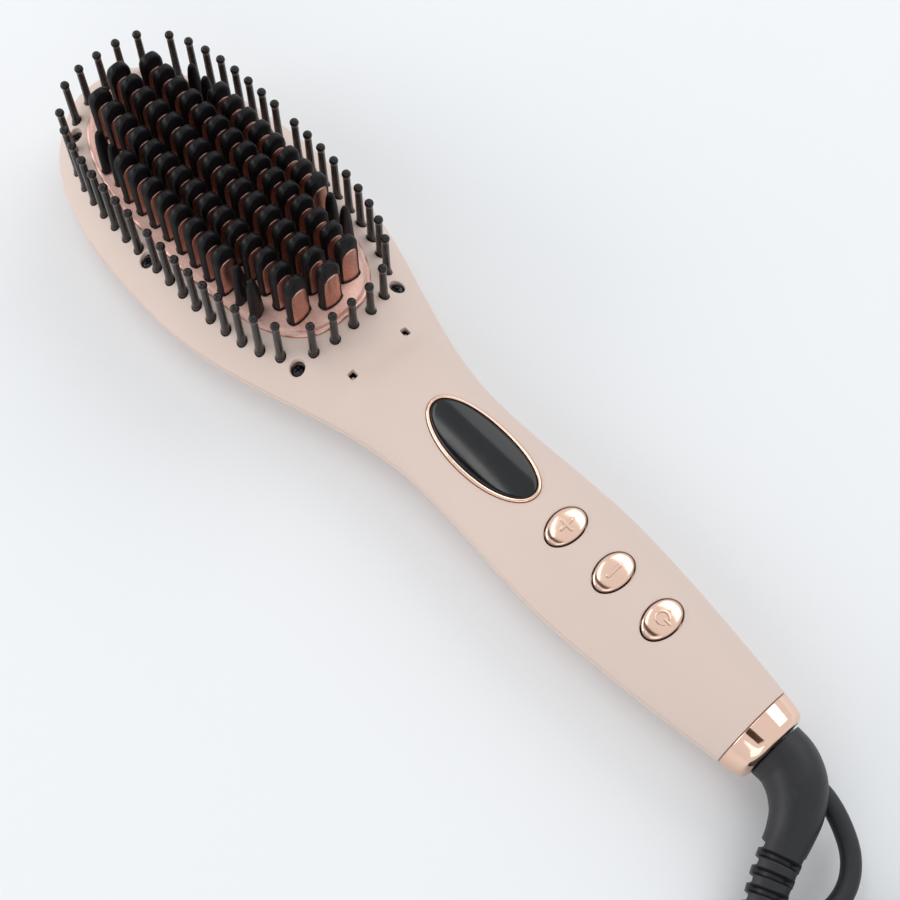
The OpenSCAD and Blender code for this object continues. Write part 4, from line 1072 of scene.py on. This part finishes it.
class HAIRBRUSH_OT_keys(bpy.types.Operator):
    """Three polished keys with raised plus, minus and power signs"""
    bl_idname = "hairbrush.keys"
    bl_label = "Keys"

    def execute(self, context):
        form, finishes = workshop(context)
        a, b = form.key_a, form.key_b
        steps = [(3.9, 0.29), (3.2, 0.28), (2.4, 0.25), (1.6, 0.19), (1.0, 0.1), (0.6, 0.0),
                 (0.33, -0.12), (0.14, -0.27), (0.03, -0.44), (0, -0.62)]
        steps = [(inset, form.key_proud + lift) for inset, lift in steps]
        for k, (x, sign) in enumerate(zip(form.keys, ("plus", "minus", "power"))):
            low = form.top_z(x, b + 1.1) - WALL - SLIP - 1
            shape = Shape().loft(form.crowned(x, a, b, 2, 72, steps + [(0, None, low + 0.6)]))
            # The flange that keeps the key in the shell
            flange = [(0.2, None, low), (0, None, low + 0.2), (0, None, low + 0.8),
                      (0.2, None, low + 1)]
            shape.loft(form.crowned(x, a + 1.1, b + 1.1, 2, 72, flange))
            for line, half in self.signs(k):
                self.raise_sign(shape, form, x, line, half)
            shape.piece(finishes, f"button_{sign}_cap", f"key_{sign}", "gold", f"button_{sign}",
                        sharp=45, finish="key")
        return {"FINISHED"}

    def signs(self, k):
        """Centrelines of a key's sign, in its own millimetres, and their half width"""
        if k == 0:
            return [([(-1.9, 0), (1.9, 0)], 0.45), ([(0, -1.9), (0, 1.9)], 0.45)]
        if k == 1:
            return [([(0, -2.1), (0, 2.1)], 0.55)]
        turns = [math.radians(35 + 290 * i / 24) for i in range(25)]
        return [([(1.75 * math.cos(t), 1.75 * math.sin(t)) for t in turns], 0.3),
                ([(0.75, 0), (2.5, 0)], 0.3)]

    def raise_sign(self, shape, form, x, line, half):
        """A rounded bead along the sign's centreline, seated on the crowned key"""
        first, last = Vector(line[0]), Vector(line[-1])
        ahead = [(Vector(b) - Vector(a)).normalized()
                 for a, b in zip(line[:1] + line[:-1], line[1:] + line[-1:])]
        ends = [(math.cos(a), math.sin(a)) for a in map(math.radians, (8, 30, 55))]
        stops = [(first - ahead[0] * half * c, ahead[0], half * s) for c, s in ends]
        stops += [(Vector(p), d, half) for p, d in zip(line, ahead)]
        stops += [(last + ahead[-1] * half * c, ahead[-1], half * s) for c, s in reversed(ends)]
        rings = []
        for spot, way, wide in stops:
            aside = Vector((-way.y, way.x))
            ring = []
            for v, lift in ((-1, -0.1), (-1, 0.18), (-0.88, 0.29), (-0.6, 0.31), (0.6, 0.31),
                            (0.88, 0.29), (1, 0.18), (1, -0.1)):
                p = spot + aside * wide * v
                inset = min(1.0, math.hypot(p.x / form.key_a, p.y / form.key_b))
                lift += form.key_proud + 0.29 - 0.24 * inset ** 3
                ring.append((x + p.x, p.y, form.top_z(x + p.x, p.y) + lift))
            rings.append(ring)
        shape.loft(rings)


# Trim ring, boot and loop

class HAIRBRUSH_OT_trim(bpy.types.Operator):
    """Polished ring at the handle's end"""
    bl_idname = "hairbrush.trim"
    bl_label = "Trim ring"

    def execute(self, context):
        form, finishes = workshop(context)
        turns = [180 * k / 48 for k in range(49)]

        def section(x, inset):
            up, down = (form.arc(x, inset, side, turns) for side in (1, -1))
            return up + down[::-1]
        start, end = form.trim_x + 0.15, form.body_reach
        profile = [(start, TRIM_WALL), (start, 0.35), (start + 0.08, 0.16), (start + 0.22, 0.04),
                   (start + 0.4, 0)]
        profile += [(mix(start + 0.4, end - 2.2, s), 0.1 * s * s) for s in (0.25, 0.5, 0.75, 1)]
        profile += [(end - 1.6, 0.21), (end - 1.05, 0.42), (end - 0.6, 0.72), (end - 0.27, 1.1),
                    (end - 0.07, 1.5), (end, 1.9), (end, TRIM_LIP), (end - WEB_T, TRIM_LIP),
                    (end - WEB_T, TRIM_WALL)]
        ring = Shape().hoop([section(x, inset) for x, inset in profile])
        ring.piece(finishes, "trim_ring", "brush", "gold", "end_ring", sharp=50)
        return {"FINISHED"}


class HAIRBRUSH_OT_boot(bpy.types.Operator):
    """Bent boot with its slotted strain relief, and the hanging loop beside it"""
    bl_idname = "hairbrush.boot"
    bl_label = "Boot and loop"

    def execute(self, context):
        form, finishes = workshop(context)
        spans = len(BOOT_ROUTE) - 1
        stops = [0, 0.02, 0.05] + [0.1 + (SMOOTH_SPANS - 0.4) * k / 36 for k in range(36)]
        first = stops[-1]
        stops += [first + (spans - first) * k / 150 for k in range(1, 151)]
        points = [along(BOOT_ROUTE, u) for u in stops]
        route = [form.handle_end(p) for p in points]
        way = [0.0]
        for a, b in zip(route, route[1:]):
            way.append(way[-1] + (Vector(b) - Vector(a)).length)
        start = next(w for w, u in zip(way, stops) if u >= SMOOTH_SPANS - 0.2)
        pitch = (way[-1] - start - 1.0) / SLEEVE_SLOTS

        def radius(i, turn):
            r = points[i][3]
            if i < 3:
                return r - (0.5, 0.2, 0.04)[i]
            if i > len(stops) - 4:
                return r - (0.1, 0.3, 0.6)[i - len(stops) + 3]
            if way[i] < start - 0.5:
                return r
            depth = 0.0
            for centre, reach, shift in ((-math.pi / 2, 105, 0.3), (math.pi / 2, 62, 0.8)):
                k = min(SLEEVE_SLOTS - 1, max(0, round((way[i] - start) / pitch - shift)))
                off = abs((turn - centre + math.pi) % TAU - math.pi) - math.radians(reach)
                gap = math.hypot(max(0.0, off * r), way[i] - start - (k + shift) * pitch)
                depth = max(depth, 1 - ease((gap - 0.19 * pitch + 0.35) / 0.7))
            return r - 2.0 * depth

        boot = Shape().tube(route, radius, 80)
        boot.piece(finishes, "cord_boot_moulding", "swivel", "rubber", "cord_boot", sharp=60)

        line = spline([form.handle_end(p) for p in LOOP_ROUTE], 8)
        total = len(line) - 1

        def strand(i, turn):
            near = min(i, total - i)
            return 2.7 + 0.7 * max(0.0, 1 - near / 14) ** 2
        loop = Shape().tube(line, strand, 28)
        loop.piece(finishes, "loop_strand", "swivel", "rubber", "hang_loop", sharp=60)
        return {"FINISHED"}


class HAIRBRUSH_OT_inside(bpy.types.Operator):
    """Finishes of the pieces inside, which keep their solids' shapes"""
    bl_idname = "hairbrush.inside"
    bl_label = "Inner pieces"

    def execute(self, context):
        finishes = workshop(context)[1]
        slots = {entry["node"]: entry["material_slot"] for entry in frame["record"]["subparts"]}
        for name, node in frame["nodes"].items():
            node.data.materials.clear()
            node.data.materials.append(finishes[slots[name]])
        return {"FINISHED"}


class HAIRBRUSH_PT_panel(bpy.types.Panel):
    """Lists every step of the brush"""
    bl_label = "Hair brush"
    bl_idname = "HAIRBRUSH_PT_panel"
    bl_space_type = "VIEW_3D"
    bl_region_type = "UI"
    bl_category = "Hair brush"

    def draw(self, context):
        for group in (context.scene.brush_sizes, context.scene.brush_colours):
            box = self.layout.box()
            for key in type(group).__annotations__:
                box.prop(group, key)
        for step in STEPS:
            self.layout.operator(step.bl_idname)


STEPS = (HAIRBRUSH_OT_stage, HAIRBRUSH_OT_cord, HAIRBRUSH_OT_shells, HAIRBRUSH_OT_heater,
         HAIRBRUSH_OT_caps, HAIRBRUSH_OT_bristles, HAIRBRUSH_OT_screws, HAIRBRUSH_OT_display,
         HAIRBRUSH_OT_keys, HAIRBRUSH_OT_trim, HAIRBRUSH_OT_boot, HAIRBRUSH_OT_inside)
CLASSES = (BrushSizes, BrushColours, *STEPS, HAIRBRUSH_PT_panel)


def register():
    for cls in CLASSES:
        bpy.utils.register_class(cls)
    bpy.types.Scene.brush_sizes = PointerProperty(type=BrushSizes)
    bpy.types.Scene.brush_colours = PointerProperty(type=BrushColours)


def unregister():
    del bpy.types.Scene.brush_sizes, bpy.types.Scene.brush_colours
    for cls in reversed(CLASSES):
        bpy.utils.unregister_class(cls)


def make_brush():
    """Registers the add-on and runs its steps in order"""
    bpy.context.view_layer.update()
    register()
    for step in STEPS:
        group, name = step.bl_idname.split(".")
        getattr(getattr(bpy.ops, group), name)()


if __name__ == "__main__":
    make_brush()
